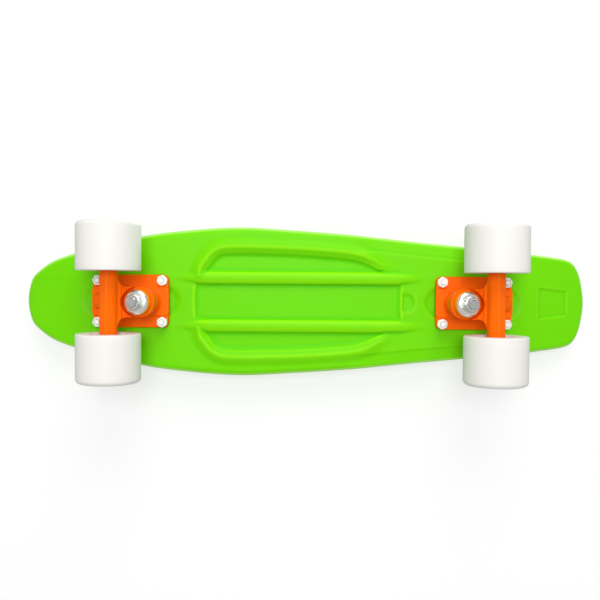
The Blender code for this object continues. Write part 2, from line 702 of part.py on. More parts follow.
# ---------------------------------------------------------------- the whole board
def build_truck(name, centre_x, facing, finishes, shapes):
    """One truck with its wheels. `facing` is 1 for the front truck and -1 for the turned rear one."""
    truck = empty(f"{name}_truck", None, (centre_x, 0, PAD_Z), (0, 0, 0 if facing > 0 else pi))
    kingpin_turn = (0, -KINGPIN_LEAN, 0)
    add(f"{name}_baseplate", shapes["baseplate"], finishes["truck"], truck)
    add(f"{name}_pivot_cup", shapes["pivot_cup"], finishes["cup"], truck, PIVOT, (0, steering_tilt(), 0))
    on_pin = (
        ("kingpin", "kingpin", "steel", 0),
        ("upper_bushing", "upper_bushing", "bushing", RING_THICKNESS / 2 + GAP),
        ("lower_bushing", "lower_bushing", "bushing", LOWER_BUSHING_TOP - LOWER_BUSHING_HEIGHT),
        ("cup_washer", "cup_washer", "steel", CUP_WASHER_TOP),
    )
    for piece, shape, look, height in on_pin:
        add(f"{name}_{piece}", shapes[shape], finishes[look], truck, on_kingpin(height), kingpin_turn)
    add(f"{name}_kingpin_nut", shapes["kingpin_nut"], finishes["steel"], truck, on_kingpin(KINGPIN_NUT_TOP),
        (0, pi - KINGPIN_LEAN, 0))

    steering = empty(f"{name}_steering_axis", truck, PIVOT)
    add(f"{name}_hanger", shapes["hanger"], finishes["truck"], steering)
    add(f"{name}_axle", shapes["axle"], finishes["steel"], steering, AXLE - PIVOT, (pi / 2, 0, 0))
    for out in (1, -1):
        build_wheel(f"{name}_{'left' if out * facing > 0 else 'right'}", out, steering, finishes, shapes)


def build_wheel(name, out, steering, finishes, shapes):
    """One wheel and what holds it. `out` is its side of the truck, and its pieces' +Z points outboard."""
    turn = (-out * pi / 2, 0, 0)
    spin = empty(f"{name}_spin_axis", steering, AXLE - PIVOT + Vector((0, out * WHEEL_Y, 0)), turn)
    add(f"{name}_wheel", shapes["wheel"], finishes["urethane"], spin)
    add(f"{name}_inner_bearing", shapes["bearing"], finishes["steel"], spin, (0, 0, -BEARING_OUTER_FACE))
    add(f"{name}_outer_bearing", shapes["bearing"], finishes["steel"], spin, (0, 0, BEARING_SEAT))
    add(f"{name}_bearing_spacer", shapes["spacer"], finishes["steel"], spin, (0, 0, GAP - BEARING_SEAT))
    washer_place = (0, 0, SPEED_WASHER_Y - WHEEL_Y)
    add(f"{name}_speed_washer", shapes["speed_washer"], finishes["steel"], spin, washer_place)
    add(f"{name}_axle_nut", shapes["axle_nut"], finishes["zinc"], spin, (0, 0, AXLE_NUT_Y - WHEEL_Y))


def build_fasteners(edge, trucks, finishes, shapes):
    """The eight bolts that hold the trucks to the deck, with their nuts."""
    nut_top = PAD_Z - BASE_THICKNESS - GAP
    bolt_end = nut_top - NUT_HEIGHT - BOLT_TIP
    for number, (x, y, top) in enumerate(bolt_heads(edge, trucks)):
        name = trucks[number // 4][0]
        place = number % 4 + 1
        add(f"{name}_mount_bolt_{place}", mount_bolt(top - bolt_end), finishes["zinc"], None, (x, y, top))
        nut = shapes["mount_nut"]
        add(f"{name}_mount_nut_{place}", nut, finishes["zinc"], None, (x, y, nut_top), (pi, 0, 0))


def main():
    clear_scene()
    finishes = {
        "deck": finish("deck_green", (0.18, 0.79, 0.02), 0.35, 0),
        "truck": finish("truck_orange", (1.0, 0.13, 0.01), 0.35, 0),
        "bushing": finish("bushing_amber", (0.85, 0.32, 0.01), 0.4, 0),
        "cup": finish("cup_black", (0.03, 0.03, 0.03), 0.6, 0),
        "urethane": finish("wheel_urethane", (0.87, 0.86, 0.80), 0.35, 0),
        "steel": finish("steel", (0.62, 0.62, 0.60), 0.3, 1),
        "zinc": finish("zinc", (0.80, 0.80, 0.80), 0.25, 1),
    }
    shapes = {
        "baseplate": baseplate_mesh(),
        "pivot_cup": pivot_cup(),
        "hanger": hanger_mesh(),
        "axle": axle(),
        "kingpin": kingpin(),
        "kingpin_nut": hexagon_nut(
            "kingpin_nut", KINGPIN_NUT_FLATS, KINGPIN_RADIUS + GAP, KINGPIN_NUT_COLLAR, KINGPIN_NUT_HEIGHT
        ),
        "upper_bushing": bushing("upper_bushing", UPPER_BUSHING_HEIGHT),
        "lower_bushing": bushing("lower_bushing", LOWER_BUSHING_HEIGHT),
        "cup_washer": cup_washer(),
        "mount_nut": hexagon_nut("mount_nut", NUT_FLATS, BOLT_RADIUS + GAP, NUT_COLLAR, NUT_HEIGHT),
        "wheel": wheel(),
        "bearing": bearing(),
        "spacer": bored_cylinder(
            "spacer", AXLE_RADIUS + GAP + SPACER_WALL, AXLE_RADIUS + GAP, SPACER_LENGTH - 2 * GAP
        ),
        "speed_washer": bored_cylinder(
            "speed_washer", SPEED_WASHER_RADIUS, AXLE_RADIUS + GAP, SPEED_WASHER_THICKNESS, PIN_SEGMENTS
        ),
        "axle_nut": hexagon_nut(
            "axle_nut", AXLE_NUT_FLATS, AXLE_RADIUS + GAP, AXLE_NUT_COLLAR, AXLE_NUT_HEIGHT
        ),
    }
    trucks = (("front", AXLE_CENTRE_X + BASE_OFFSET, 1), ("rear", AXLE_CENTRE_X - BASE_OFFSET, -1))
    edge = outline_half()
    add("deck", deck_mesh(edge, trucks), finishes["deck"], None)
    for name, centre_x, facing in trucks:
        build_truck(name, centre_x, facing, finishes, shapes)
    build_fasteners(edge, trucks, finishes, shapes)


main()
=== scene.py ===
"""Mini cruiser skateboard: the finished look of its moulded deck, two cast trucks and four wheels.

Metres, +Z up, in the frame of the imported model: the board stands on its wheels with its nose along +X.
Each truck is modelled in its own frame, as a maker would draw it: the origin is on the deck's pad over
the middle of the baseplate, +X points outboard and +Z up into the deck.
"""

from __future__ import annotations

import logging
import math
from dataclasses import dataclass, field
from enum import Enum
from math import cos, hypot, pi, radians, sin, tau
from typing import Sequence

import bpy
import numpy as np
from mathutils import Matrix, Vector

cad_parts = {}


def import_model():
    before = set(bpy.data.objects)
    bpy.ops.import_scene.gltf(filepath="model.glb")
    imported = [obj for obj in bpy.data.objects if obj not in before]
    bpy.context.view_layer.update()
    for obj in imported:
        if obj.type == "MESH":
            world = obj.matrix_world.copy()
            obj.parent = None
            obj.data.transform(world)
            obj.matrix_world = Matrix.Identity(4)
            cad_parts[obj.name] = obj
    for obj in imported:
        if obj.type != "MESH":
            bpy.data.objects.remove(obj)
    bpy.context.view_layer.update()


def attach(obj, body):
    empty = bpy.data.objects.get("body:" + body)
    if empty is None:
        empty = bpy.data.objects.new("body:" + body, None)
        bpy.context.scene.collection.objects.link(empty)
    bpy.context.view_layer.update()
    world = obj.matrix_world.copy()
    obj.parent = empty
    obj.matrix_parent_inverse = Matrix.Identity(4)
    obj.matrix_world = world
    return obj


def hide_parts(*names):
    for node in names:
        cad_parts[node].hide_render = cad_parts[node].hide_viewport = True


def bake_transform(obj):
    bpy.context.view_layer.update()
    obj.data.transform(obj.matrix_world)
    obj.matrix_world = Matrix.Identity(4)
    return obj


LOG = logging.getLogger("skateboard")
MM = 0.001
ROOT_BODY = "deck_assembly"
TRUCK_CENTRES = (0.1774, -0.1638)  # x of the front and the rear baseplate's middle
HOLE_X, HOLE_Y = 0.03175, 0.02065  # mounting bolts from the baseplate's middle

Point = tuple[float, float]
Obj = bpy.types.Object


# ---------------------------------------------------------------- modelling by operators
def deselect() -> None:
    """Leave nothing selected, and object mode on."""
    if bpy.context.object and bpy.context.object.mode != "OBJECT":
        bpy.ops.object.mode_set(mode="OBJECT")
    bpy.ops.object.select_all(action="DESELECT")


def pick(*objs: Obj) -> Obj:
    """Select these objects alone and make the first one active.

    Args:
        objs: The objects to select.

    Returns:
        The active object.
    """
    deselect()
    for obj in objs:
        obj.select_set(True)
    bpy.context.view_layer.objects.active = objs[0]
    return objs[0]


def edit(obj: Obj, mode: str = "FACE", everything: bool = True) -> None:
    """Open an object in edit mode.

    Args:
        obj: The object to open.
        mode: The kind of element that is selected: VERT, EDGE or FACE.
        everything: Whether all of it starts selected.
    """
    pick(obj)
    bpy.ops.object.mode_set(mode="EDIT")
    bpy.ops.mesh.select_mode(type=mode)
    bpy.ops.mesh.select_all(action="SELECT" if everything else "DESELECT")


def edit_marked(obj: Obj, marks: Sequence[bool]) -> None:
    """Open an object in edit mode with some of its vertices selected.

    Args:
        obj: The object to open.
        marks: Whether each vertex is selected.
    """
    edit(obj, "VERT", everything=False)
    bpy.ops.object.mode_set(mode="OBJECT")
    for vertex, mark in zip(obj.data.vertices, marks):
        vertex.select = bool(mark)
    bpy.ops.object.mode_set(mode="EDIT")


def leave() -> Obj:
    """Go back to object mode.

    Returns:
        The object that was open.
    """
    bpy.ops.object.mode_set(mode="OBJECT")
    return bpy.context.object


def named(name: str) -> Obj:
    """Give the active object and its mesh a name.

    Args:
        name: The piece's name.

    Returns:
        The active object.
    """
    obj = bpy.context.object
    obj.name = name
    obj.data.name = name
    return obj


def cleaned(obj: Obj, distance: float = 1e-6) -> Obj:
    """Merge doubled vertices and turn every face outwards.

    Args:
        obj: The object to clean.
        distance: Vertices closer than this are merged.

    Returns:
        The same object.
    """
    edit(obj)
    bpy.ops.mesh.remove_doubles(threshold=distance)
    bpy.ops.mesh.normals_make_consistent(inside=False)
    return leave()


def turned(name: str, profile: Sequence[Point], segments: int = 48) -> Obj:
    """Spin a section about Z, as on a lathe.

    Args:
        name: The piece's name.
        profile: Points (radius, height). A section that starts and ends on the axis makes a solid,
            and any other one is closed into a ring.
        segments: How many steps go round.

    Returns:
        The turned piece, standing about the origin.
    """
    deselect()
    bpy.ops.mesh.primitive_plane_add(size=MM)
    obj = named(name)
    edit(obj, "VERT")
    bpy.ops.mesh.merge(type="CENTER")
    bpy.ops.transform.translate(value=(profile[0][0], 0, profile[0][1]))
    for before, after in zip(profile, profile[1:]):
        step = (after[0] - before[0], 0, after[1] - before[1])
        bpy.ops.mesh.extrude_region_move(TRANSFORM_OT_translate={"value": step})
    if profile[0][0] > 0:
        leave()
        ends = (0, len(profile) - 1)
        edit_marked(obj, [vertex.index in ends for vertex in obj.data.vertices])
        bpy.ops.mesh.edge_face_add()
    bpy.ops.mesh.select_all(action="SELECT")
    bpy.ops.mesh.spin(steps=segments, angle=tau, center=(0, 0, 0), axis=(0, 0, 1), use_normal_flip=False)
    leave()
    return cleaned(obj)


def rod(name: str, radius: float, low: float, high: float, segments: int = 40) -> Obj:
    """Turn a plain round bar, for cutting holes."""
    return turned(name, [(0, low), (radius, low), (radius, high), (0, high)], segments)


def lifted(height: float) -> Matrix:
    """A move along Z."""
    return Matrix.Translation((0, 0, height))


def extruded(name: str, outline: Sequence[Point], bottom: float, top: float) -> Obj:
    """Raise a flat outline into a straight-sided solid.

    Args:
        name: The piece's name.
        outline: Points (x, y) in order.
        bottom: Height of the lower face.
        top: Height of the upper face.

    Returns:
        The solid.
    """
    deselect()
    bpy.ops.mesh.primitive_circle_add(vertices=len(outline), fill_type="NGON")
    obj = named(name)
    for vertex, (x, y) in zip(obj.data.vertices, outline):
        vertex.co = (x, y, bottom)
    edit(obj)
    bpy.ops.mesh.extrude_region_move(TRANSFORM_OT_translate={"value": (0, 0, top - bottom)})
    leave()
    return cleaned(obj)


def apply_modifier(obj: Obj, kind: str, **settings: object) -> Obj:
    """Add a modifier, set it and apply it.

    Args:
        obj: The object to change.
        kind: The modifier's type, as Blender names it.
        settings: Its properties.

    Returns:
        The same object.
    """
    pick(obj)
    modifier = obj.modifiers.new(kind.title(), kind)
    for key, value in settings.items():
        setattr(modifier, key, value)
    bpy.ops.object.modifier_apply(modifier=modifier.name)
    return obj


class Cut(Enum):
    """How one solid changes another."""

    ADD = "UNION"
    REMOVE = "DIFFERENCE"


def combined(base: Obj, how: Cut, *tools: Obj) -> Obj:
    """Apply solids to a base by exact Booleans, and remove them.

    Args:
        base: The object that is changed.
        how: Whether the tools are added or removed.
        tools: The other solids.

    Returns:
        The base.
    """
    for tool in tools:
        apply_modifier(base, "BOOLEAN", operation=how.value, solver="EXACT", object=tool)
        bpy.data.objects.remove(tool, do_unlink=True)
    return base


def joined(name: str, *parts: Obj) -> Obj:
    """Join objects into one.

    Args:
        name: The joined piece's name.
        parts: The objects, the first of which stays.

    Returns:
        The joined object.
    """
    pick(*parts)
    bpy.ops.object.join()
    return named(name)


def placed(obj: Obj, matrix: Matrix) -> Obj:
    """Move a piece's mesh, leaving its object at the origin.

    Args:
        obj: The piece.
        matrix: Where it goes.

    Returns:
        The same piece.
    """
    obj.data.transform(obj.matrix_world)
    obj.matrix_world = Matrix.Identity(4)
    obj.data.transform(matrix)
    if matrix.determinant() < 0:
        obj.data.flip_normals()
    return obj


def copied(obj: Obj, name: str) -> Obj:
    """Copy a piece with its own mesh.

    Args:
        obj: The piece to copy.
        name: The copy's name.

    Returns:
        The copy.
    """
    twin = obj.copy()
    twin.data = obj.data.copy()
    twin.name = name
    twin.data.name = name
    bpy.context.scene.collection.objects.link(twin)
    return twin


def smoothed(obj: Obj, angle: float = 35.0) -> Obj:
    """Shade smooth but for the edges sharper than an angle in degrees."""
    pick(obj)
    bpy.ops.object.shade_smooth_by_angle(angle=radians(angle))
    return obj


def arc(centre: Point, radius: float, start: float, end: float, steps: int) -> list[Point]:
    """Points along an arc.

    Args:
        centre: Its centre.
        radius: Its radius.
        start: First angle in degrees.
        end: Last angle in degrees.
        steps: How many equal steps lie between them.

    Returns:
        The points, both ends included.
    """
    angles = [radians(start + (end - start) * step / steps) for step in range(steps + 1)]
    return [(centre[0] + radius * cos(a), centre[1] + radius * sin(a)) for a in angles]


def rounded_rectangle(length: float, width: float, corner: float, steps: int = 8) -> list[Point]:
    """Outline of a rectangle about the origin with round corners."""
    x, y = length / 2 - corner, width / 2 - corner
    corners = ((x, y), (-x, y), (-x, -y), (x, -y))
    return [p for turn, c in enumerate(corners) for p in arc(c, corner, 90 * turn, 90 * turn + 90, steps)]


def ease(value: np.ndarray, start: float, end: float) -> np.ndarray:
    """A smooth step from 0 at start to 1 at end."""
    t = np.clip((value - start) / (end - start), 0, 1)
    return t * t * (3 - 2 * t)


def line_distance(x: np.ndarray, y: np.ndarray, line: Sequence[Point]) -> np.ndarray:
    """Distance from each point to the nearest place on a broken line."""
    best = np.full(x.shape, np.inf)
    for (ax, ay), (bx, by) in zip(line, line[1:]):
        dx, dy = bx - ax, by - ay
        t = np.clip(((x - ax) * dx + (y - ay) * dy) / max(dx * dx + dy * dy, 1e-18), 0, 1)
        best = np.minimum(best, np.hypot(x - ax - t * dx, y - ay - t * dy))
    return best


def smooth_curve(points: Sequence[Point], steps: int) -> list[Point]:
    """A smooth line through points, with the given steps between two of them."""
    guide = [Vector(p) for p in points]
    chain = [guide[0] * 2 - guide[1], *guide, guide[-1] * 2 - guide[-2]]
    found = []
    for before, start, end, after in zip(chain, chain[1:], chain[2:], chain[3:]):
        span = (end - start).length
        leave_ = (end - before) * span / ((end - start).length + (start - before).length)
        arrive = (after - start) * span / ((after - end).length + (end - start).length)
        for step in range(steps):
            t = step / steps
            found.append(start * (2 * t**3 - 3 * t**2 + 1) + leave_ * (t**3 - 2 * t**2 + t)
                         + end * (3 * t**2 - 2 * t**3) + arrive * (t**3 - t**2))
    found.append(guide[-1])
    return [(p.x, p.y) for p in found]


# ---------------------------------------------------------------- node tools
@dataclass
class Nodes:
    """Short ways to build one node tree."""

    tree: bpy.types.NodeTree

    def add(self, kind: str, **settings: object) -> bpy.types.Node:
        """Add a node and set its properties.

        Args:
            kind: The node's type without its ShaderNode prefix.
            settings: Its properties, and values for its inputs by name.

        Returns:
            The node.
        """
        node = self.tree.nodes.new(f"ShaderNode{kind}")
        for key, value in settings.items():
            if hasattr(node, key):
                setattr(node, key, value)
            else:
                socket = node.inputs[key.replace("_", " ")]
                if isinstance(value, bpy.types.NodeSocket):
                    self.tree.links.new(value, socket)
                else:
                    socket.default_value = value
        return node

    def link(self, source: bpy.types.NodeSocket, target: bpy.types.NodeSocket) -> None:
        """Join two sockets."""
        self.tree.links.new(source, target)

    def value(self, operation: str, *inputs: object) -> bpy.types.NodeSocket:
        """One step of arithmetic.

        Args:
            operation: The Math node's operation.
            inputs: Numbers or sockets.

        Returns:
            Its result.
        """
        node = self.tree.nodes.new("ShaderNodeMath")
        node.operation = operation
        for socket, value in zip(node.inputs, inputs):
            if isinstance(value, bpy.types.NodeSocket):
                self.tree.links.new(value, socket)
            else:
                socket.default_value = value
        return node.outputs[0]

    def ramp(self, value: bpy.types.NodeSocket, low: float, high: float, start: float = 0.0,
             end: float = 1.0) -> bpy.types.NodeSocket:
        """Stretch a value from one range to another and hold it there."""
        node = self.add("MapRange", interpolation_type="SMOOTHSTEP")
        self.link(value, node.inputs["Value"])
        for key, number in (("From Min", low), ("From Max", high), ("To Min", start), ("To Max", end)):
            node.inputs[key].default_value = number
        return node.outputs[0]

    def mix(self, share: object, first: object, second: object, blend: str = "MIX") -> bpy.types.NodeSocket:
        """Mix two colours.

        Args:
            share: How much of the second one shows.
            first: A colour or its socket.
            second: A colour or its socket.
            blend: The way they mix.

        Returns:
            The mixed colour.
        """
        node = self.tree.nodes.new("ShaderNodeMix")
        node.data_type = "RGBA"
        node.blend_type = blend
        for socket, value in ((node.inputs[0], share), (node.inputs[6], first), (node.inputs[7], second)):
            if isinstance(value, bpy.types.NodeSocket):
                self.tree.links.new(value, socket)
            else:
                socket.default_value = value if isinstance(value, float) else (*value[:3], 1)
        return node.outputs[2]


def srgb(red: int, green: int, blue: int) -> tuple[float, float, float]:
    """A linear colour from its everyday 0 to 255 values."""
    def linear(part: int) -> float:
        share = part / 255
        return share / 12.92 if share <= 0.04045 else ((share + 0.055) / 1.055) ** 2.4
    return linear(red), linear(green), linear(blue)


# ---------------------------------------------------------------- shared effects
@dataclass
class Effects:
    """The effects that several finishes share, each one a node group built once."""

    groups: dict[str, bpy.types.NodeTree] = field(default_factory=dict)

    def start(self, name: str, inputs: dict[str, float], outputs: Sequence[str]
              ) -> tuple[Nodes, bpy.types.Node, bpy.types.Node, bpy.types.NodeSocket]:
        """Open a new node group.

        Args:
            name: The group's name.
            inputs: Its inputs with their defaults.
            outputs: Its outputs.

        Returns:
            The tools for its tree, its input node, its output node and the place on the piece.
        """
        tree = bpy.data.node_groups.new(name, "ShaderNodeTree")
        for key, value in inputs.items():
            socket = tree.interface.new_socket(key, in_out="INPUT", socket_type="NodeSocketFloat")
            socket.default_value = value
        for key in outputs:
            tree.interface.new_socket(key, in_out="OUTPUT", socket_type="NodeSocketFloat")
        self.groups[name] = tree
        nodes = Nodes(tree)
        source, sink = tree.nodes.new("NodeGroupInput"), tree.nodes.new("NodeGroupOutput")
        return nodes, source, sink, nodes.add("TexCoord").outputs["Object"]

    def noise(self, nodes: Nodes, place: bpy.types.NodeSocket, scale: object, detail: float = 3.0,
              roughness: float = 0.55) -> bpy.types.NodeSocket:
        """Fractal noise between 0 and 1."""
        node = nodes.add("TexNoise", Detail=detail, Roughness=roughness)
        nodes.link(place, node.inputs["Vector"])
        if isinstance(scale, bpy.types.NodeSocket):
            nodes.link(scale, node.inputs["Scale"])
        else:
            node.inputs["Scale"].default_value = scale
        return node.outputs["Fac"]

    def build(self) -> None:
        """Build every group."""
        self.grain()
        self.clouds()
        self.edge_wear()
        self.scratches()
        self.dust()

    def grain(self) -> None:
        """Fine surface texture: a height from orange peel to cast skin."""
        nodes, source, sink, place = self.start("grain", {"Scale": 600.0, "Coarse": 0.4}, ("Height", "Rough"))
        fine = self.noise(nodes, place, source.outputs["Scale"], 4.0)
        broad = self.noise(nodes, place, nodes.value("MULTIPLY", source.outputs["Scale"], 0.17), 2.0)
        share = source.outputs["Coarse"]
        rest = nodes.value("SUBTRACT", 1.0, share)
        fine_part, broad_part = nodes.value("MULTIPLY", fine, rest), nodes.value("MULTIPLY", broad, share)
        height = nodes.value("ADD", fine_part, broad_part)
        nodes.link(height, sink.inputs["Height"])
        nodes.link(nodes.value("SUBTRACT", fine, 0.5), sink.inputs["Rough"])

    def clouds(self) -> None:
        """Slow variation over a surface, as moulding and casting leave it."""
        nodes, source, sink, place = self.start("clouds", {"Scale": 18.0, "Amount": 1.0}, ("Value", "Mask"))
        slow = self.noise(nodes, place, source.outputs["Scale"], 3.0)
        centred = nodes.value("MULTIPLY", nodes.value("SUBTRACT", slow, 0.5), source.outputs["Amount"])
        nodes.link(centred, sink.inputs["Value"])
        nodes.link(nodes.ramp(slow, 0.35, 0.65), sink.inputs["Mask"])

    def edge_wear(self) -> None:
        """Where convex edges are rubbed, broken up so that it isn't an even line."""
        nodes, source, sink, place = self.start("edge_wear", {"Amount": 0.5, "Scale": 220.0}, ("Mask",))
        broken = self.noise(nodes, place, source.outputs["Scale"], 5.0, 0.7)
        edge = nodes.ramp(nodes.add("NewGeometry").outputs["Pointiness"], 0.53, 0.62)
        rubbed = nodes.value("MULTIPLY", edge, nodes.ramp(broken, 0.38, 0.62))
        nodes.link(nodes.value("MULTIPLY", rubbed, source.outputs["Amount"]), sink.inputs["Mask"])

    def scratches(self) -> None:
        """Hairline marks of handling, crossing in two directions."""
        nodes, source, sink, place = self.start("scratches", {"Scale": 90.0, "Amount": 0.5}, ("Mask",))
        marks = []
        for turn, stretch in ((0.5, (1.0, 0.04, 1.0)), (-0.9, (0.05, 1.0, 1.0))):
            mapping = nodes.add("Mapping")
            mapping.inputs["Rotation"].default_value = (0, 0, turn)
            mapping.inputs["Scale"].default_value = stretch
            nodes.link(place, mapping.inputs["Vector"])
            lines = self.noise(nodes, mapping.outputs["Vector"], source.outputs["Scale"], 6.0, 0.75)
            marks.append(nodes.ramp(lines, 0.66, 0.72))
        both = nodes.value("MAXIMUM", *marks)
        nodes.link(nodes.value("MULTIPLY", both, source.outputs["Amount"]), sink.inputs["Mask"])

    def dust(self) -> None:
        """A thin film that gathers in patches."""
        nodes, source, sink, place = self.start("dust", {"Amount": 0.2, "Scale": 60.0}, ("Mask",))
        patches = self.noise(nodes, place, source.outputs["Scale"], 5.0, 0.65)
        hollow = nodes.ramp(nodes.add("NewGeometry").outputs["Pointiness"], 0.50, 0.42)
        film = nodes.value("MULTIPLY", nodes.value("ADD", hollow, 0.25), nodes.ramp(patches, 0.3, 0.8))
        nodes.link(nodes.value("MULTIPLY", film, source.outputs["Amount"]), sink.inputs["Mask"])

    def use(self, nodes: Nodes, name: str, **values: float) -> bpy.types.Node:
        """Place a group in a material.

        Args:
            nodes: The material's tools.
            name: The group.
            values: Its inputs by name.

        Returns:
            The group's node.
        """
        node = nodes.tree.nodes.new("ShaderNodeGroup")
        node.node_tree = self.groups[name]
        for key, value in values.items():
            node.inputs[key].default_value = value
        return node


EFFECTS = Effects()


# ---------------------------------------------------------------- finishes
@dataclass(frozen=True)
class Finish:
    """A material: its colours, gloss, and how much of each shared effect it shows."""

    name: str
    colour: tuple[float, float, float]
    shade: tuple[float, float, float]
    roughness: float = 0.35
    roughness_spread: float = 0.10
    metallic: float = 0.0
    coat: float = 0.0
    specular: float = 0.5
    grain_scale: float = 600.0
    grain_coarse: float = 0.4
    grain_depth: float = 0.05
    cloud_scale: float = 18.0
    cloud_amount: float = 0.6
    wear: float = 0.0
    worn_colour: tuple[float, float, float] = (0.8, 0.8, 0.8)
    scratch: float = 0.0
    dust: float = 0.0
    dust_colour: tuple[float, float, float] = (0.55, 0.53, 0.5)

    def colour_nodes(self, nodes: Nodes) -> bpy.types.NodeSocket:
        """The colour before wear and dust."""
        clouds = EFFECTS.use(nodes, "clouds", Scale=self.cloud_scale, Amount=self.cloud_amount)
        share = nodes.value("ADD", clouds.outputs["Value"], 0.5)
        return nodes.mix(share, self.colour, self.shade)

    def height_nodes(self, nodes: Nodes, grain: bpy.types.Node) -> bpy.types.NodeSocket:
        """The height that the bump follows."""
        return grain.outputs["Height"]

    def material(self) -> bpy.types.Material:
        """Build the material, or give it back if it is there already.

        Returns:
            The material.
        """
        found = bpy.data.materials.get(self.name)
        if found:
            return found
        material = bpy.data.materials.new(self.name)
        material.use_nodes = True
        material.diffuse_color = (*self.colour, 1)
        nodes = Nodes(material.node_tree)
        shader = material.node_tree.nodes["Principled BSDF"]
        grain = EFFECTS.use(nodes, "grain", Scale=self.grain_scale, Coarse=self.grain_coarse)
        colour = self.colour_nodes(nodes)
        rough = nodes.value("MULTIPLY_ADD", grain.outputs["Rough"], self.roughness_spread, self.roughness)
        if self.wear:
            mask = EFFECTS.use(nodes, "edge_wear", Amount=self.wear).outputs["Mask"]
            colour = nodes.mix(mask, colour, self.worn_colour)
        if self.scratch:
            mask = EFFECTS.use(nodes, "scratches", Amount=self.scratch).outputs["Mask"]
            rough = nodes.value("MULTIPLY_ADD", mask, 0.25, rough)
            colour = nodes.mix(nodes.value("MULTIPLY", mask, 0.25), colour, self.worn_colour)
        if self.dust:
            mask = EFFECTS.use(nodes, "dust", Amount=self.dust).outputs["Mask"]
            colour = nodes.mix(mask, colour, self.dust_colour)
            rough = nodes.value("MULTIPLY_ADD", mask, 0.4, rough)
        bump = nodes.add("Bump", Strength=1.0, Distance=self.grain_depth * MM)
        nodes.link(self.height_nodes(nodes, grain), bump.inputs["Height"])
        nodes.link(colour, shader.inputs["Base Color"])
        nodes.link(rough, shader.inputs["Roughness"])
        nodes.link(bump.outputs["Normal"], shader.inputs["Normal"])
        shader.inputs["Metallic"].default_value = self.metallic
        shader.inputs["Specular IOR Level"].default_value = self.specular
        shader.inputs["Coat Weight"].default_value = self.coat
        shader.inputs["Coat Roughness"].default_value = 0.12
        return material


@dataclass(frozen=True)
class BrushedMetal(Finish):
    """Metal with the fine rings that turning or rolling leaves."""

    ring_scale: float = 2600.0

    def height_nodes(self, nodes: Nodes, grain: bpy.types.Node) -> bpy.types.NodeSocket:
        """Grain crossed by fine parallel lines."""
        place = nodes.add("TexCoord").outputs["Object"]
        mapping = nodes.add("Mapping")
        mapping.inputs["Scale"].default_value = (0.06, 0.06, 1.0)
        nodes.link(place, mapping.inputs["Vector"])
        lines = EFFECTS.noise(nodes, mapping.outputs["Vector"], self.ring_scale, 2.0)
        return nodes.value("ADD", grain.outputs["Height"], lines)


@dataclass(frozen=True)
class CastEnamel(Finish):
    """Enamel over a casting, with painted shade: redder and darker in the hollows."""

    # The colour of the painted shade in the hollows.
    painted_shade: tuple[float, float, float] = (0.9, 0.02, 0.0)

    def colour_nodes(self, nodes: Nodes) -> bpy.types.NodeSocket:
        """The enamel with painted shade, redder and darker in the hollows."""
        base = super().colour_nodes(nodes)
        # Painted shade: concave places, found by pointiness, turn redder and darker.
        hollow = nodes.ramp(nodes.add("NewGeometry").outputs["Pointiness"], 0.505, 0.44)
        return nodes.mix(nodes.value("MULTIPLY", hollow, 0.8), base, self.painted_shade)


@dataclass(frozen=True)
class MouldedPlastic(Finish):
    """Dyed plastic with painted light: painted shade where a wall meets a floor, painted highlights on crests
    and a painted glow at the thin rim.
    """

    # Colours for painted shade in feet and recesses, painted highlight on crests and painted glow at the thin
    # rim.
    painted_shade: tuple[float, float, float] = (0.05, 0.6, 0.0)
    crest: tuple[float, float, float] = (0.3, 0.9, 0.02)
    rim: tuple[float, float, float] = (0.5, 0.95, 0.2)

    def colour_nodes(self, nodes: Nodes) -> bpy.types.NodeSocket:
        """The colour with painted shade and painted highlights from the piece's own hollow values, and a
        painted glow from its rim values.
        """
        base = super().colour_nodes(nodes)
        hollow = nodes.add("Attribute", attribute_name="hollow").outputs["Fac"]
        # Painted shade in the feet and recesses, then painted highlight on the crests.
        base = nodes.mix(nodes.ramp(hollow, -0.06, -0.9, 0.0, 0.4), base, self.painted_shade)
        base = nodes.mix(nodes.ramp(hollow, 0.06, 0.9, 0.0, 0.75), base, self.crest)
        # Painted glow along the thin rim.
        rim = nodes.add("Attribute", attribute_name="rim").outputs["Fac"]
        return nodes.mix(nodes.ramp(rim, 0.0, 1.0, 0.0, 0.7), base, self.rim)


# The deck's darker green for hollows is painted shade, its crest green a painted highlight and its rim green a
# painted glow.
DECK_GREEN = MouldedPlastic("deck_green_plastic", srgb(114, 214, 5), srgb(103, 208, 2), roughness=0.38,
                            specular=0.07, grain_scale=900.0, grain_depth=0.035, cloud_scale=9.0,
                            cloud_amount=0.9, scratch=0.05, dust=0.02, painted_shade=srgb(60, 194, 0),
                            crest=srgb(142, 228, 12), rim=srgb(178, 234, 112))
GRIP_GREEN = Finish("deck_green_grip", srgb(112, 224, 28), srgb(100, 214, 20), roughness=0.48,
                    grain_scale=1500.0, grain_depth=0.08, cloud_scale=9.0, wear=0.12,
                    worn_colour=srgb(170, 240, 110), scratch=0.12, dust=0.07)
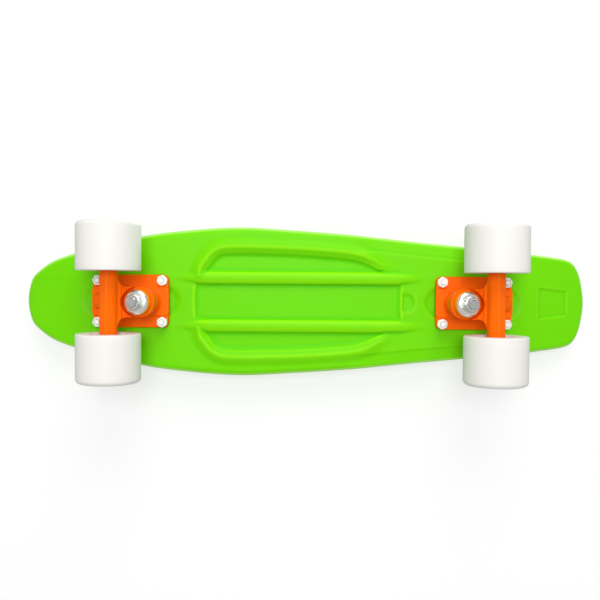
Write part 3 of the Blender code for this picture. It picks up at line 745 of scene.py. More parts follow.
# The truck's darker red for hollows is painted shade.
TRUCK_ORANGE = CastEnamel("truck_orange_enamel", srgb(255, 111, 1), srgb(255, 101, 1), roughness=0.36,
                          coat=0.04, specular=0.06, grain_scale=420.0, grain_depth=0.08, cloud_scale=40.0,
                          wear=0.05, worn_colour=srgb(255, 150, 60), painted_shade=srgb(250, 82, 8))
BUSHING_AMBER = Finish("bushing_amber_urethane", srgb(252, 150, 10), srgb(240, 132, 6), roughness=0.38,
                       specular=0.3, grain_scale=500.0, grain_depth=0.05, cloud_scale=70.0)
CUP_BLACK = Finish("pivot_black_urethane", srgb(34, 34, 34), srgb(24, 24, 24), roughness=0.55,
                   grain_depth=0.06)
WHEEL_WHITE = Finish("wheel_white_urethane", srgb(231, 229, 224), srgb(225, 223, 217), roughness=0.46,
                     specular=0.25, grain_scale=380.0, grain_depth=0.04, cloud_scale=22.0, dust=0.03)
CORE_WHITE = Finish("wheel_core_plastic", srgb(232, 233, 230), srgb(222, 223, 220), roughness=0.3,
                    grain_scale=700.0, grain_depth=0.03, cloud_scale=40.0)
BRIGHT_ZINC = BrushedMetal("bright_zinc_plate", (0.95, 0.94, 0.91), (0.87, 0.86, 0.83), roughness=0.40,
                           metallic=0.55, grain_scale=900.0, grain_depth=0.03, cloud_scale=120.0, wear=0.2,
                           worn_colour=(0.95, 0.95, 0.94))
CREAM_ZINC = BrushedMetal("cream_zinc_plate", (0.93, 0.91, 0.84), (0.84, 0.82, 0.76), roughness=0.20,
                          metallic=1.0, grain_scale=900.0, grain_depth=0.03, cloud_scale=120.0)
SATIN_ZINC = BrushedMetal("satin_zinc_plate", (0.66, 0.66, 0.65), (0.56, 0.56, 0.56), roughness=0.30,
                          metallic=1.0, grain_scale=900.0, grain_depth=0.03, cloud_scale=120.0, wear=0.3,
                          worn_colour=(0.92, 0.91, 0.88))
PLAIN_STEEL = BrushedMetal("plain_steel", (0.60, 0.60, 0.59), (0.46, 0.46, 0.46), roughness=0.30,
                           metallic=1.0, grain_scale=900.0, grain_depth=0.03, cloud_scale=150.0, wear=0.2)
BEARING_STEEL = BrushedMetal("bearing_steel", (0.66, 0.66, 0.68), (0.56, 0.56, 0.58), roughness=0.20,
                             metallic=1.0, grain_scale=1200.0, grain_depth=0.02, cloud_scale=150.0)
SHIELD_STEEL = BrushedMetal("bearing_shield", (0.5, 0.5, 0.51), (0.42, 0.42, 0.43), roughness=0.34,
                            metallic=1.0, grain_scale=1200.0, grain_depth=0.02, cloud_scale=150.0)
LOCK_NYLON = Finish("lock_nut_nylon", srgb(232, 232, 226), srgb(215, 216, 210), roughness=0.4,
                    grain_scale=900.0, grain_depth=0.03, cloud_scale=90.0)


class Slot(Enum):
    """The record's material slots."""

    DECK = "deck_plastic"
    TRUCK = "truck_paint"
    BUSHING = "bushing_urethane"
    PIVOT = "pivot_urethane"
    WHEEL = "wheel_urethane"
    ZINC = "zinc_steel"
    STEEL = "bare_steel"
    BEARING = "bearing_steel"


def dressed(obj: Obj, finish: Finish, slot: Slot, body: str | None, *nodes: str) -> Obj:
    """Give a finished piece its material and body, and hide the CAD nodes it stands for.

    Args:
        obj: The piece, in place.
        finish: Its finish.
        slot: Not used.
        body: The body it rides on, or None to leave it on none, as for the bushings that sit between two.
        nodes: The CAD nodes that it replaces.

    Returns:
        The piece.
    """
    placed(obj, Matrix.Identity(4))
    obj.data.materials.clear()
    obj.data.materials.append(finish.material())
    if body:
        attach(obj, body)
    if nodes:
        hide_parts(*nodes)
    LOG.info("%s: %d faces", obj.name, len(obj.data.polygons))
    return obj


# ---------------------------------------------------------------- deck
@dataclass
class Deck:
    """The moulded board: ribbed and looped underneath, waffled on top."""

    underside: float = 0.0763
    thickness: float = 0.010
    length: float = 0.5715
    width: float = 0.149
    concave_rise: float = 0.003
    concave_flat: float = 0.56
    lower_round: float = 0.0045
    upper_round: float = 0.0030
    kick_start: float = -0.2079
    kick_angle: float = radians(19)
    kick_radius: float = 0.060
    nose_start: float = 0.2215
    nose_radius: float = 0.150
    tile_height: float = 0.0006
    core: float = 0.034
    recess: float = 0.0025
    crest: float = 0.0026
    rib_height: float = 0.0034
    rib_y: float = 0.0241
    rib_half: float = 0.0072
    rail_inset: float = 0.0145
    rail_step: float = 0.0008
    rail_rise: float = 0.0010
    disc_centre: float = -0.0965
    disc_depth: float = 0.0014
    dish: tuple[float, float, float] = (0.0495, 0.0246, 0.0016)
    tail_panel: tuple[float, float, float] = (-0.2640, -0.2312, 0.0009)
    outline: tuple[Point, ...] = (
        (1.000, 0.000), (0.984, 0.278), (0.952, 0.409), (0.895, 0.543), (0.790, 0.673), (0.581, 0.876),
        (0.412, 0.961), (0.240, 1.000), (0.073, 0.969), (-0.153, 0.908), (-0.378, 0.820), (-0.578, 0.748),
        (-0.806, 0.656), (-0.903, 0.617), (-0.945, 0.572), (-0.972, 0.462), (-0.990, 0.272), (-1.000, 0.000),
    )
    loop_wall: tuple[Point, ...] = (
        (0.1045, 0.0200), (0.1029, 0.0312), (0.0983, 0.0382), (0.0937, 0.0436), (0.0861, 0.0477),
        (0.0689, 0.0486), (0.0488, 0.0484), (0.0088, 0.0471), (-0.0282, 0.0445), (-0.0380, 0.0435),
        (-0.0519, 0.0407), (-0.0626, 0.0362), (-0.0703, 0.0324), (-0.0779, 0.0300), (-0.0848, 0.0286),
        (-0.0950, 0.0200),
    )

    def edge_line(self) -> list[Point]:
        """The deck's edge on the +Y side from nose to tail."""
        half = [(x * self.length / 2, y * self.width / 2) for x, y in self.outline]
        whole = [(half[1][0], -half[1][1]), *half, (half[-2][0], -half[-2][1])]
        line = smooth_curve(whole, 8)
        return line[8:-8]

    def stretch(self, x: np.ndarray) -> np.ndarray:
        """Ease the drawn length to the moulding's: a little longer at the nose, shorter at the tail."""
        longer, shorter, tail_start = 0.034, 0.014, -0.230
        return x + longer * np.clip(x - self.nose_start, 0, None) + shorter * np.clip(tail_start - x, 0, None)

    def half_width(self, x: np.ndarray) -> np.ndarray:
        """Half the deck's width at x."""
        line = self.edge_line()[::-1]
        return np.interp(x, [p[0] for p in line], [p[1] for p in line])

    def rise(self, x: np.ndarray) -> np.ndarray:
        """How far the deck bends up at x: the kicked tail and the lifted nose."""
        tail = self.kick_start - x
        reach = self.kick_radius * sin(self.kick_angle)
        bend = self.kick_radius - np.sqrt(self.kick_radius**2 - np.clip(tail, 0, reach) ** 2)
        straight = np.maximum(tail - reach, 0) * math.tan(self.kick_angle)
        nose = np.clip(x - self.nose_start, 0, None)
        return bend + straight + self.nose_radius - np.sqrt(self.nose_radius**2 - nose**2)

    def relief(self, x: np.ndarray, y: np.ndarray) -> np.ndarray:
        """How far the underside stands proud of its plain surface, towards the ground.

        Args:
            x: Places along the deck.
            y: Places across it.

        Returns:
            The height, negative in the recesses.
        """
        across = np.abs(y)
        wall = smooth_curve(self.loop_wall, 4)
        level = line_distance(x, across, wall)
        along, high = zip(*sorted(wall))
        out = np.where(np.interp(x, along, high) > across, -level, level)  # distance outside the loop
        ends = ease(x, -0.094, -0.070) * ease(x, 0.128, 0.108)
        fade = ease(x, -0.090, -0.050)
        outer = ease(across, self.rib_y - 0.001, self.rib_y + 0.001)  # 1 outboard of the ribs
        panel = -self.recess * ease(out, 0.0016, -0.0026)
        crest = self.crest * ease(out, 0.0004, 0.0070) * ease(out, 0.0172, 0.0085) * ends * fade
        crest += 0.0006 * ease(out, -0.0020, 0.0018) * ease(out, 0.0110, 0.0060) * ends
        bow = 0.0012 * (across / 0.018) ** 2
        centre = -self.recess * ease(x, -0.0932, -0.0888) * ease(x, 0.1162 - bow, 0.1118 - bow)
        floor = outer * (panel + crest) + (1 - outer) * centre + self.marks(x, across)
        rib = self.ribs(x, across)
        fillet = 0.0005
        return 0.5 * (floor + rib + np.sqrt((floor - rib) ** 2 + fillet**2))

    def ribs(self, x: np.ndarray, across: np.ndarray) -> np.ndarray:
        """The two long round-backed ribs, which sink to points at both ends."""
        ridge = self.rib_height - (self.rib_height + 0.0002) * np.maximum(
            ease(x, -0.0800, -0.1215), ease(x, 0.0980, 0.1380))
        t = np.clip(np.abs(across - self.rib_y) / self.rib_half, 0, 1)
        beyond = np.clip(np.abs(across - self.rib_y) - self.rib_half, 0, None)
        drop = self.rib_height + self.recess + 0.0008
        return ridge - drop * (1 - np.sqrt(1 - t**2.2)) - 2.0 * beyond

    def hollow(self, x: np.ndarray, y: np.ndarray, reach: float = 0.0032) -> np.ndarray:
        """How the underside stands against what is round it: -1 in a foot, 1 on a crest, a little lower in the
        recesses; the deck's finish paints shade and highlight from it.
        """
        turns = [k * pi / 3 for k in range(6)]
        around = sum(self.relief(x + reach * cos(a), y + reach * sin(a)) for a in turns) / len(turns)
        own = self.relief(x, y)
        sunk = np.clip(own / self.recess, -1, 0)
        return np.clip((own - around) / 0.0008 + 0.35 * sunk, -1, 1)

    def marks(self, x: np.ndarray, across: np.ndarray) -> np.ndarray:
        """The shallow marks: half disc, dished seats of the trucks, tail panel and the rail's step."""
        disc = np.hypot(x - self.disc_centre, across)
        found = -self.disc_depth * ease(disc, 0.0104, 0.0086) * ease(x, -0.0925, -0.0940)
        dish_x, dish_y, dish_depth = self.dish
        for centre in TRUCK_CENTRES:
            oval = np.hypot((x - centre) / dish_x, across / dish_y)
            found -= dish_depth * ease(oval, 1.02, 0.90)
        outer, inner, panel_depth = self.tail_panel
        taper = 0.0158 - 0.100 * (inner - x)
        flat = np.minimum.reduce([inner - x, x - outer, taper - across])
        found -= panel_depth * ease(flat, -0.0004, 0.0010)
        rail = across - (self.half_width(x) - self.rail_inset)
        tailward = ease(x, -0.040, -0.060) * ease(x, self.kick_start, -0.185)
        return found - self.rail_step * ease(rail, -0.0008, 0.0012) * tailward

    def rail_lift(self, x: np.ndarray, across: np.ndarray, width: np.ndarray) -> np.ndarray:
        """How far the underside's rails turn up towards the edge."""
        step = width - self.rail_inset
        fade = ease(x, -0.045, -0.070) * ease(x, self.kick_start, -0.175)
        middle = ease(x, -0.060, -0.030) * ease(x, 0.16, 0.11)
        lift = self.rail_rise * ease(across - step, 0.0, 0.0120) * fade
        lift += 0.0009 * ease(across - (width - 0.0062), 0, 0.005) * middle
        return lift

    def stations(self) -> np.ndarray:
        """Places along the deck, closer together where the shape changes quickly."""
        spans = (
            (-0.28575, -0.2850, 5), (-0.2850, -0.2800, 8), (-0.2800, -0.2660, 10), (-0.2660, -0.2620, 7),
            (-0.2620, -0.2330, 10), (-0.2330, -0.2295, 6), (-0.2295, -0.1180, 46), (-0.1180, -0.0840, 34),
            (-0.0840, -0.0480, 24), (-0.0480, 0.0820, 44), (0.0820, 0.1180, 32), (0.1180, 0.1300, 6),
            (0.1300, 0.2300, 30), (0.2300, 0.2700, 16), (0.2700, 0.2850, 12), (0.2850, 0.28575, 5),
        )
        found = [spans[0][0]]
        for start, end, count in spans:
            found += list(np.linspace(start, end, count + 1)[1:])
        tip_start = 0.2850  # from here to each tip the spacing shrinks
        end = self.length / 2
        span = end - tip_start
        far = np.abs(found)
        near = far > tip_start
        far[near] = end - span * (1 - (far[near] - tip_start) / span) ** 2
        return np.sign(found) * far

    def lines(self) -> list[tuple[bool, float]]:
        """Places across half the deck: (whether it is a distance within the core, value)."""
        inner = [*np.linspace(0, 0.012, 6)[:-1], *np.linspace(0.012, self.core, 25)]
        outer = [*np.linspace(0, 0.84, 23)[1:], 0.875, 0.905, 0.930, 0.952, 0.970, 0.984, 0.994, 1.0]
        return [(True, value) for value in inner] + [(False, value) for value in outer]

    def build(self) -> Obj:
        """The deck as a closed mesh, shaped from a grid raised into a slab."""
        stations, lines = self.stations(), self.lines()
        rows = [(-1, *line) for line in reversed(lines[1:])] + [(1, *line) for line in lines]
        deselect()
        bpy.ops.mesh.primitive_grid_add(
            x_subdivisions=len(stations) - 1, y_subdivisions=len(rows) - 1, size=2
        )
        obj = named("deck_board")
        edit(obj)
        bpy.ops.mesh.extrude_region_move(TRANSFORM_OT_translate={"value": (0, 0, 1)})
        leave()
        places = self.places(obj)
        column = np.rint((places[:, 0] + 1) / 2 * (len(stations) - 1)).astype(int)
        row = np.rint((places[:, 1] + 1) / 2 * (len(rows) - 1)).astype(int)
        upper = places[:, 2] > 0.5
        x = stations[column]
        width = self.half_width(x)
        core = np.minimum(self.core, 0.62 * width)
        side = np.array([r[0] for r in rows])[row]
        within = np.array([r[1] for r in rows])[row]
        share = np.array([r[2] for r in rows])[row]
        across = np.where(within, share * core / self.core, core + (width - core) * share)
        y = side * across
        self.move(obj, x, y, self.height(x, y, width, upper))
        edge = line_distance(x, np.abs(y), self.edge_line())
        # The hollow values carry the underside's painted shade in feet and recesses and its painted highlight
        # on crests.
        self.mark(obj, "hollow", np.where(upper, 0, self.hollow(x, y)) * ease(edge, 0.004, 0.009))
        # The rim values carry a painted glow along the deck's edge, top and bottom.
        self.mark(obj, "rim", np.where(upper, ease(edge, 0.0040, 0.0010), ease(edge, 0.0034, 0.0012)))
        return smoothed(cleaned(obj, 4e-6), 60)

    def places(self, obj: Obj) -> np.ndarray:
        """Every vertex's place, one to a row."""
        found = np.empty(len(obj.data.vertices) * 3)
        obj.data.vertices.foreach_get("co", found)
        return found.reshape(-1, 3)

    def move(self, obj: Obj, x: np.ndarray, y: np.ndarray, z: np.ndarray) -> None:
        """Put every vertex in its place on the stretched board."""
        obj.data.vertices.foreach_set("co", np.column_stack([self.stretch(x), y, z]).ravel())
        obj.data.update()

    def mark(self, obj: Obj, name: str, values: np.ndarray) -> None:
        """Store one number per vertex for the finish to read."""
        layer = obj.data.attributes.new(name, "FLOAT", "POINT")
        layer.data.foreach_set("value", values.astype(np.float32))

    def height(self, x: np.ndarray, y: np.ndarray, width: np.ndarray, upper: np.ndarray) -> np.ndarray:
        """Height of the deck's skin.

        Args:
            x: Places along.
            y: Places across.
            width: Half the deck's width there.
            upper: Whether each place is on the top.

        Returns:
            The heights.
        """
        edge = line_distance(x, np.abs(y), self.edge_line())
        low = self.lower_round
        high = self.upper_round
        low_turn = low - np.sqrt(low**2 - np.clip(low - edge, 0, low) ** 2)
        high_turn = high - np.sqrt(high**2 - np.clip(high - edge, 0, high) ** 2)
        base = self.underside + self.rise(x)
        below = base - self.relief(x, y) + self.rail_lift(x, np.abs(y), width) + low_turn
        share = np.abs(y) / np.maximum(width, 1e-6)
        rail = np.clip((share - self.concave_flat) / (1 - self.concave_flat), 0, 1)
        above = base + self.thickness + self.concave_rise * rail**2 - self.tile_height - high_turn
        return np.where(upper, above, below)

    def build_grip(self) -> Obj:
        """The waffle of raised tiles on the deck's top."""
        pitch, tile = 0.0096, 0.0076
        columns, rows = 59, 15
        edge_margin, bolt_margin = 0.0105, 0.0098
        deselect()
        bpy.ops.mesh.primitive_cube_add(size=1, scale=(tile, tile, 0.002))
        obj = named("deck_grip")
        bpy.ops.object.transform_apply(location=False, rotation=False, scale=True)
        edit(obj, "VERT")
        bpy.ops.mesh.bevel(offset=0.0014, segments=2, affect="VERTICES")
        leave()
        for vertex in obj.data.vertices:
            inset = 0.84 if vertex.co.z > 0 else 1.0
            vertex.co.x *= inset
            vertex.co.y *= inset
        apply_modifier(obj, "ARRAY", count=columns, use_relative_offset=False, use_constant_offset=True,
                       constant_offset_displace=(pitch, 0, 0))
        apply_modifier(obj, "ARRAY", count=rows, use_relative_offset=False, use_constant_offset=True,
                       constant_offset_displace=(0, pitch, 0))
        places = self.places(obj)
        middle = np.rint(places[:, :2] / pitch) * pitch
        shift = np.array([(columns - 1) * pitch / 2, (rows - 1) * pitch / 2])
        middle -= shift
        x, y = places[:, 0] - shift[0], places[:, 1] - shift[1]
        edge = line_distance(middle[:, 0], np.abs(middle[:, 1]), self.edge_line())
        width = self.half_width(middle[:, 0])
        out = (np.abs(middle[:, 1]) > width) | (edge < edge_margin)
        for hole in self.bolt_places():
            out |= np.hypot(middle[:, 0] - hole[0], middle[:, 1] - hole[1]) < bolt_margin
        top = self.height(x, y, self.half_width(x), np.ones(len(x), bool))
        shoulder = np.where(places[:, 2] > 0, 0.0004, -0.0006)
        raised = np.where(places[:, 2] > 0.0007, self.tile_height, shoulder)
        self.move(obj, x, y, top + raised)
        edit_marked(obj, out)
        bpy.ops.mesh.delete(type="VERT")
        leave()
        return smoothed(cleaned(obj), 40)

    def bolt_places(self) -> list[Point]:
        """The eight mounting bolts' places."""
        return [(c + x * HOLE_X, y * HOLE_Y) for c in TRUCK_CENTRES for x in (1, -1) for y in (1, -1)]

    def dress(self) -> None:
        """Build and finish the deck's pieces."""
        dressed(self.build(), DECK_GREEN, Slot.DECK, ROOT_BODY, "deck")
        dressed(self.build_grip(), GRIP_GREEN, Slot.DECK, ROOT_BODY, "deck")


# ---------------------------------------------------------------- trucks
@dataclass
class Truck:
    """One truck in its own frame: baseplate, hanger, bushings, kingpin, cup washer, pivot cup and axle; its
    bolts are made with the running gear.
    """

    pad_z: float = 0.076
    base_length: float = 0.0762
    base_width: float = 0.0535
    base_thickness: float = 0.0055
    base_corner: float = 0.0065
    spine_width: float = 0.0292
    spine_depth: float = 0.0068
    draft: float = 0.0009
    axle: Vector = field(default_factory=lambda: Vector((0.0109, 0, -0.046)))
    ring: Vector = field(default_factory=lambda: Vector((-0.0156, 0, -0.0315)))
    pivot: Vector = field(default_factory=lambda: Vector((0.0284, 0, -0.0093)))
    lean: float = radians(6)
    ring_radius: float = 0.0147
    ring_bore: float = 0.0088
    ring_thickness: float = 0.008
    bushing_radius: float = 0.0125
    upper_height: float = 0.0118
    lower_height: float = 0.0092
    kingpin_radius: float = 0.00475
    kingpin_bore: float = 0.00505
    kingpin_tip: float = -0.0270
    kingpin_head: tuple[float, float] = (0.02477, 0.03027)
    hanger_half: float = 0.0395
    beam_radius: float = 0.0083
    yoke_root: float = 0.0222
    yoke_thickness: float = 0.0072
    head_flats: float = 0.0137
    stem_radius: float = 0.0044
    stem_length: float = 0.0165
    cup_depth: float = 0.0088
    axle_radius: float = 0.004
    axle_half: float = 0.0734
    axle_thread: float = 0.0105
    gap: float = 0.0003
    skin: float = 0.00042

    @property
    def up(self) -> Vector:
        """The kingpin's direction, up into the deck."""
        return Vector((-sin(self.lean), 0, cos(self.lean)))

    @property
    def steering(self) -> Vector:
        """The steering axis, from the ring to the pivot."""
        return (self.pivot - self.ring).normalized()

    @property
    def web_slope(self) -> float:
        """How far the line from the ring to the beam leans from level."""
        return math.atan2(self.ring.z - self.axle.z, self.axle.x - self.ring.x)

    def on_kingpin(self, obj: Obj, height: float = 0.0) -> Obj:
        """Place a piece turned about Z on the kingpin, at a height above the ring's middle."""
        turn = Matrix.Rotation(-self.lean, 4, "Y")
        return placed(obj, Matrix.Translation(self.ring + self.up * height) @ turn)

    def on_pivot(self, obj: Obj) -> Obj:
        """Place a piece turned about Z on the steering axis, its zero at the pivot's end."""
        tilt = math.atan2(self.steering.x, self.steering.z)
        return placed(obj, Matrix.Translation(self.pivot) @ Matrix.Rotation(tilt, 4, "Y"))

    def on_axle(self, obj: Obj) -> Obj:
        """Place a piece turned about Z on the axle, its +Z towards +Y."""
        return placed(obj, Matrix.Translation(self.axle) @ Matrix.Rotation(-pi / 2, 4, "X"))

    def cast(self, obj: Obj, rounds: int, share: float) -> Obj:
        """Melt joined solids into one casting with soft corners.

        Args:
            obj: The joined solids.
            rounds: How far the corners are softened.
            share: How much of the mesh is kept at the end.

        Returns:
            The casting.
        """
        apply_modifier(obj, "REMESH", mode="VOXEL", voxel_size=self.skin, adaptivity=0.0)
        apply_modifier(obj, "SMOOTH", factor=0.5, iterations=rounds)
        apply_modifier(obj, "DECIMATE", ratio=share)
        return cleaned(obj)

    def baseplate(self) -> Obj:
        """The cast plate: a drafted slab, its raised spine, the bushing seat and the pivot's housing."""
        slab = extruded("baseplate", rounded_rectangle(self.base_length, self.base_width, self.base_corner),
                        -self.base_thickness, 0)
        for vertex in slab.data.vertices:
            if vertex.co.z < -self.base_thickness / 2:
                vertex.co.x *= 1 - self.draft / (self.base_length / 2)
                vertex.co.y *= 1 - self.draft / (self.base_width / 2)
        spine_outline = rounded_rectangle(self.base_length - 0.0004, self.spine_width, 0.004)
        spine = extruded("spine", spine_outline, -self.spine_depth, -0.001)
        seat = self.ring_thickness / 2 + self.upper_height + 2 * self.gap
        foot = -self.ring.z / cos(self.lean) - 0.001
        wide = self.bushing_radius - 0.0008
        boss = self.on_kingpin(turned("boss", [
            (0, seat), (wide - 0.0005, seat), (wide, seat + 0.0006), (wide, seat + 0.004),
            (wide + 0.0008, foot), (0, foot)], 64))
        mouth, radius = -0.0085, 0.0078
        housing = self.on_pivot(turned("housing", [
            (0, mouth), (radius - 0.0006, mouth), (radius, mouth + 0.0007), (radius, 0.0045), (0, 0.0045)], 48))
        web = extruded("web", rounded_rectangle(0.034, 0.0052, 0.002), -0.0112, -0.002)
        placed(web, Matrix.Translation((0.0080, 0, 0)))
        for vertex in web.data.vertices:
            if vertex.co.z < -0.010 and vertex.co.x < 0.008:
                vertex.co.z = -0.0088
        body = self.cast(joined("baseplate", slab, spine, boss, housing, web), 5, 0.42)
        above = extruded("above", rounded_rectangle(0.2, 0.2, 0.01, 2), -0.00005, 0.05)
        bore, head_seat, head_room = self.kingpin_bore, self.kingpin_head[0] - self.gap, 0.0082
        pin_hole = turned("pin_hole", [(0, 0), (bore, 0), (bore, head_seat), (head_room, head_seat),
                                       (head_room, 0.06), (0, 0.06)], 40)
        holes = [above, self.on_pivot(rod("cup_hole", 0.0063, -0.03, 0.0025)), self.on_kingpin(pin_hole)]
        for x in (HOLE_X, -HOLE_X):
            for y in (HOLE_Y, -HOLE_Y):
                holes.append(placed(rod("bolt_hole", 0.0028, -0.02, 0.01, 20), Matrix.Translation((x, y, 0))))
        return smoothed(combined(body, Cut.REMOVE, *holes), 38)

    def yoke(self, inset: float, bottom: float, top: float) -> Obj:
        """The web from the beam to the ring, or the pocket in it.

        Args:
            inset: How far inside the web's edge the outline runs.
            bottom: Lower height, towards the ground.
            top: Upper height.

        Returns:
            The solid, in place.
        """
        run = hypot(self.axle.x - self.ring.x, self.axle.z - self.ring.z)
        waist = self.ring_radius * 0.985 - inset
        root = self.yoke_root - inset
        fillet = root - waist
        corner = arc((self.beam_radius + inset + fillet, root), fillet, 180, 270, 8)
        if inset:
            half = [*corner, (run - 0.009, waist), (run - 0.0045, waist * 0.72)]
        else:
            half = [(0.0, root), *corner, (run, waist)]
        solid = extruded("yoke", half + [(x, -y) for x, y in reversed(half)], bottom, top)
        turn = Matrix.Rotation(self.web_slope, 4, "Y") @ Matrix.Rotation(pi, 4, "Z")
        return placed(solid, Matrix.Translation(self.axle) @ turn)

    def hanger(self) -> Obj:
        """The cast hanger: beam, web with raised rims, kingpin ring and the neck to the pivot."""
        half, radius = self.hanger_half, self.beam_radius
        end = [(radius, half - 0.0016), (radius - 0.0002, half - 0.0006), (radius - 0.0011, half), (0, half)]
        section = [(r, -z) for r, z in reversed(end)] + end
        beam = self.on_axle(turned("hanger", section, 72))
        ridge_outline = rounded_rectangle(0.0034, 2 * half - 0.006, 0.0008)
        ridge = extruded("ridge", ridge_outline, -radius - 0.0006, -0.004)
        placed(ridge, Matrix.Translation(self.axle))
        mark = extruded("mark", rounded_rectangle(0.0009, 0.0085, 0.0004), -radius - 0.0004, -0.004)
        placed(mark, Matrix.Translation(self.axle + Vector((-0.0052, 0, 0.0019))))
        web = self.yoke(0.0, -self.yoke_thickness / 2, self.yoke_thickness / 2)
        combined(web, Cut.REMOVE, self.yoke(0.0030, -0.01, -self.yoke_thickness / 2 + 0.0017))
        side = self.ring_thickness / 2
        ring = self.on_kingpin(turned("ring", [
            (0, -side), (self.ring_radius - 0.0005, -side), (self.ring_radius, -side + 0.0005),
            (self.ring_radius, side - 0.0005), (self.ring_radius - 0.0005, side), (0, side)], 72))
        root = self.axle + Vector((-radius * 0.2, 0, 0))
        top = self.pivot - self.steering * (self.cup_depth + 0.0056 + 2 * self.gap)
        line = top - root
        neck = turned("neck", [(0, 0), (0.0085, 0), (0.0062, line.length * 0.6), (0.0056, line.length),
                               (0, line.length)], 48)
        placed(neck, Matrix.Translation(root) @ Matrix.Rotation(math.atan2(line.x, line.z), 4, "Y"))
        inner, outer, thin = -0.0150, 0.0125, 0.0022
        outline = [(inner, -thin), (outer, -thin), (outer, thin), (inner, thin)]
        gusset = extruded("gusset", outline, -0.005, 0.0042)
        lean = Matrix.Rotation(self.web_slope, 4, "Y")
        placed(gusset, Matrix.Translation(self.axle + Vector((-0.0065, 0, 0.0065))) @ lean)
        room, swept, overlap = 0.022, 0.01475, 0.0003
        trims = [self.on_kingpin(rod("trim", swept, low, high, 64))
                 for low, high in ((-side - room, -side + overlap), (side - overlap, side + room))]
        body = joined("hanger", beam, ridge, mark, web, neck, gusset)
        apply_modifier(body, "REMESH", mode="VOXEL", voxel_size=self.skin, adaptivity=0.0)
        combined(body, Cut.REMOVE, *trims)
        body = self.cast(joined("hanger", body, ring), 4, 0.42)
        wide, foot = self.stem_radius, -self.stem_length
        stem = turned("stem", [(0, foot), (wide, foot), (wide, -0.0018), (0.0038, -0.0006), (0.0026, 0.0003),
                               (0, 0.0005)], 40)
        combined(body, Cut.ADD, self.on_pivot(stem))
        bore = self.on_kingpin(rod("bore", self.ring_bore, -0.016, 0.016, 48))
        channel = self.on_axle(rod("channel", self.axle_radius + self.gap, -0.08, 0.08, 32))
        return smoothed(combined(body, Cut.REMOVE, bore, channel), 38)

    def bushing(self, name: str, height: float) -> Obj:
        """A urethane barrel with rolled ends, standing on zero."""
        bore, wide = self.kingpin_radius + self.gap, self.bushing_radius
        steps, bulge, roll = 10, 0.0009, 0.0008
        side = [(wide - bulge + bulge * sin(pi * step / steps), roll + (height - 2 * roll) * step / steps)
                for step in range(steps + 1)]
        rim, face = wide - 0.0011, wide - 0.0017
        section = [(bore, 0), (face, 0), (rim, 0.0002), *side, (rim, height - 0.0002), (face, height),
                   (bore, height)]
        return smoothed(turned(name, section, 56))

    def kingpin(self) -> Obj:
        """The kingpin bolt with its threaded tip and hexagon head."""
        tip, head_top = self.kingpin_tip, self.kingpin_head[1]
        head = [*hexagon_side(self.head_flats, *self.kingpin_head), (0, head_top)]
        bolt = threaded("kingpin", self.kingpin_radius, tip, tip + 0.0132, head, 0.00125)
        return smoothed(self.on_kingpin(hexed(bolt, self.head_flats)), 30)

    def cup_washer(self) -> Obj:
        """The dished washer under the road-side bushing."""
        low = -self.ring_thickness / 2 - self.lower_height - 2 * self.gap
        bore = self.kingpin_bore
        section = [(bore, -0.0015), (0.0086, -0.0015), (0.0098, -0.00135), (0.0110, -0.0006), (0.0117, 0.0),
                   (0.0119, 0.0003), (0.0118, 0.0006), (0.0115, 0.0006), (0.0108, -0.0001), (0.0096, -0.0006),
                   (0.0088, -0.0007), (bore, -0.0007)]
        return smoothed(self.on_kingpin(turned("cup_washer", section, 64), low), 40)

    def pivot_cup(self) -> Obj:
        """The urethane cup with a rolled lip round the pivot."""
        low = -self.cup_depth
        section = [(0, 0.0008), (0.0046, 0.0008), (0.0047, low + 0.0004), (0.0050, low), (0.0058, low),
                   (0.0062, -0.0086), (0.0060, -0.0080), (0.0060, 0.0015), (0.0052, 0.0020), (0, 0.0020)]
        return smoothed(self.on_pivot(turned("pivot_cup", section, 40)), 40)

    def axle_bar(self) -> Obj:
        """The axle with a thread at each end."""
        tip = -self.axle_half
        right = threaded("axle", self.axle_radius, tip, tip + self.axle_thread, [(0, 0)], 0.0010)
        left = placed(copied(right, "axle_left"), Matrix.Rotation(pi, 4, "X"))
        bar = joined("axle", right, left)
        edit(bar)
        bpy.ops.mesh.remove_doubles(threshold=1e-6)
        leave()
        for face in bar.data.polygons:
            face.select = abs(face.center.z) < 1e-5 and abs(face.normal.z) > 0.9
        bpy.ops.object.mode_set(mode="EDIT")
        bpy.ops.mesh.select_mode(type="FACE")
        bpy.ops.mesh.delete(type="FACE")
        leave()
        return smoothed(self.on_axle(cleaned(bar)), 30)


def threaded(name: str, radius: float, tip: float, thread_end: float, rest: Sequence[Point], pitch: float,
             segments: int = 36) -> Obj:
    """A round bar along Z whose first stretch carries a helical thread.

    Args:
        name: The piece's name.
        radius: The bar's radius.
        tip: Height of the threaded end.
        thread_end: Where the thread runs out.
        rest: The section from there to the other end, on the axis.
        pitch: The thread's pitch.
        segments: How many steps go round.

    Returns:
        The bar.
    """
    depth = 0.11 * 2 * radius if radius > 0.003 else 0.14 * radius
    depth = min(depth, pitch * 0.55)
    count = max(int((thread_end - tip) / pitch * 7), 8)
    heights = [tip + 0.0006 + (thread_end - tip - 0.0006) * step / count for step in range(count + 1)]
    profile = [(0, tip), (radius - depth * 1.1, tip), *[(radius, height) for height in heights],
               (radius, rest[0][1]), *rest]
    obj = turned(name, profile, segments)
    for vertex in obj.data.vertices:
        place = vertex.co
        around = hypot(place.x, place.y)
        if around < radius * 0.97 or place.z > thread_end - 1e-6:
            continue
        turn = math.atan2(place.y, place.x) / tau
        phase = ((place.z - tip) / pitch - turn) % 1.0
        tooth = min(phase, 1 - phase) * 2
        fade = min(1.0, (thread_end - place.z) / pitch)
        scale = 1 - depth * tooth * fade / radius
        place.x *= scale
        place.y *= scale
    return obj


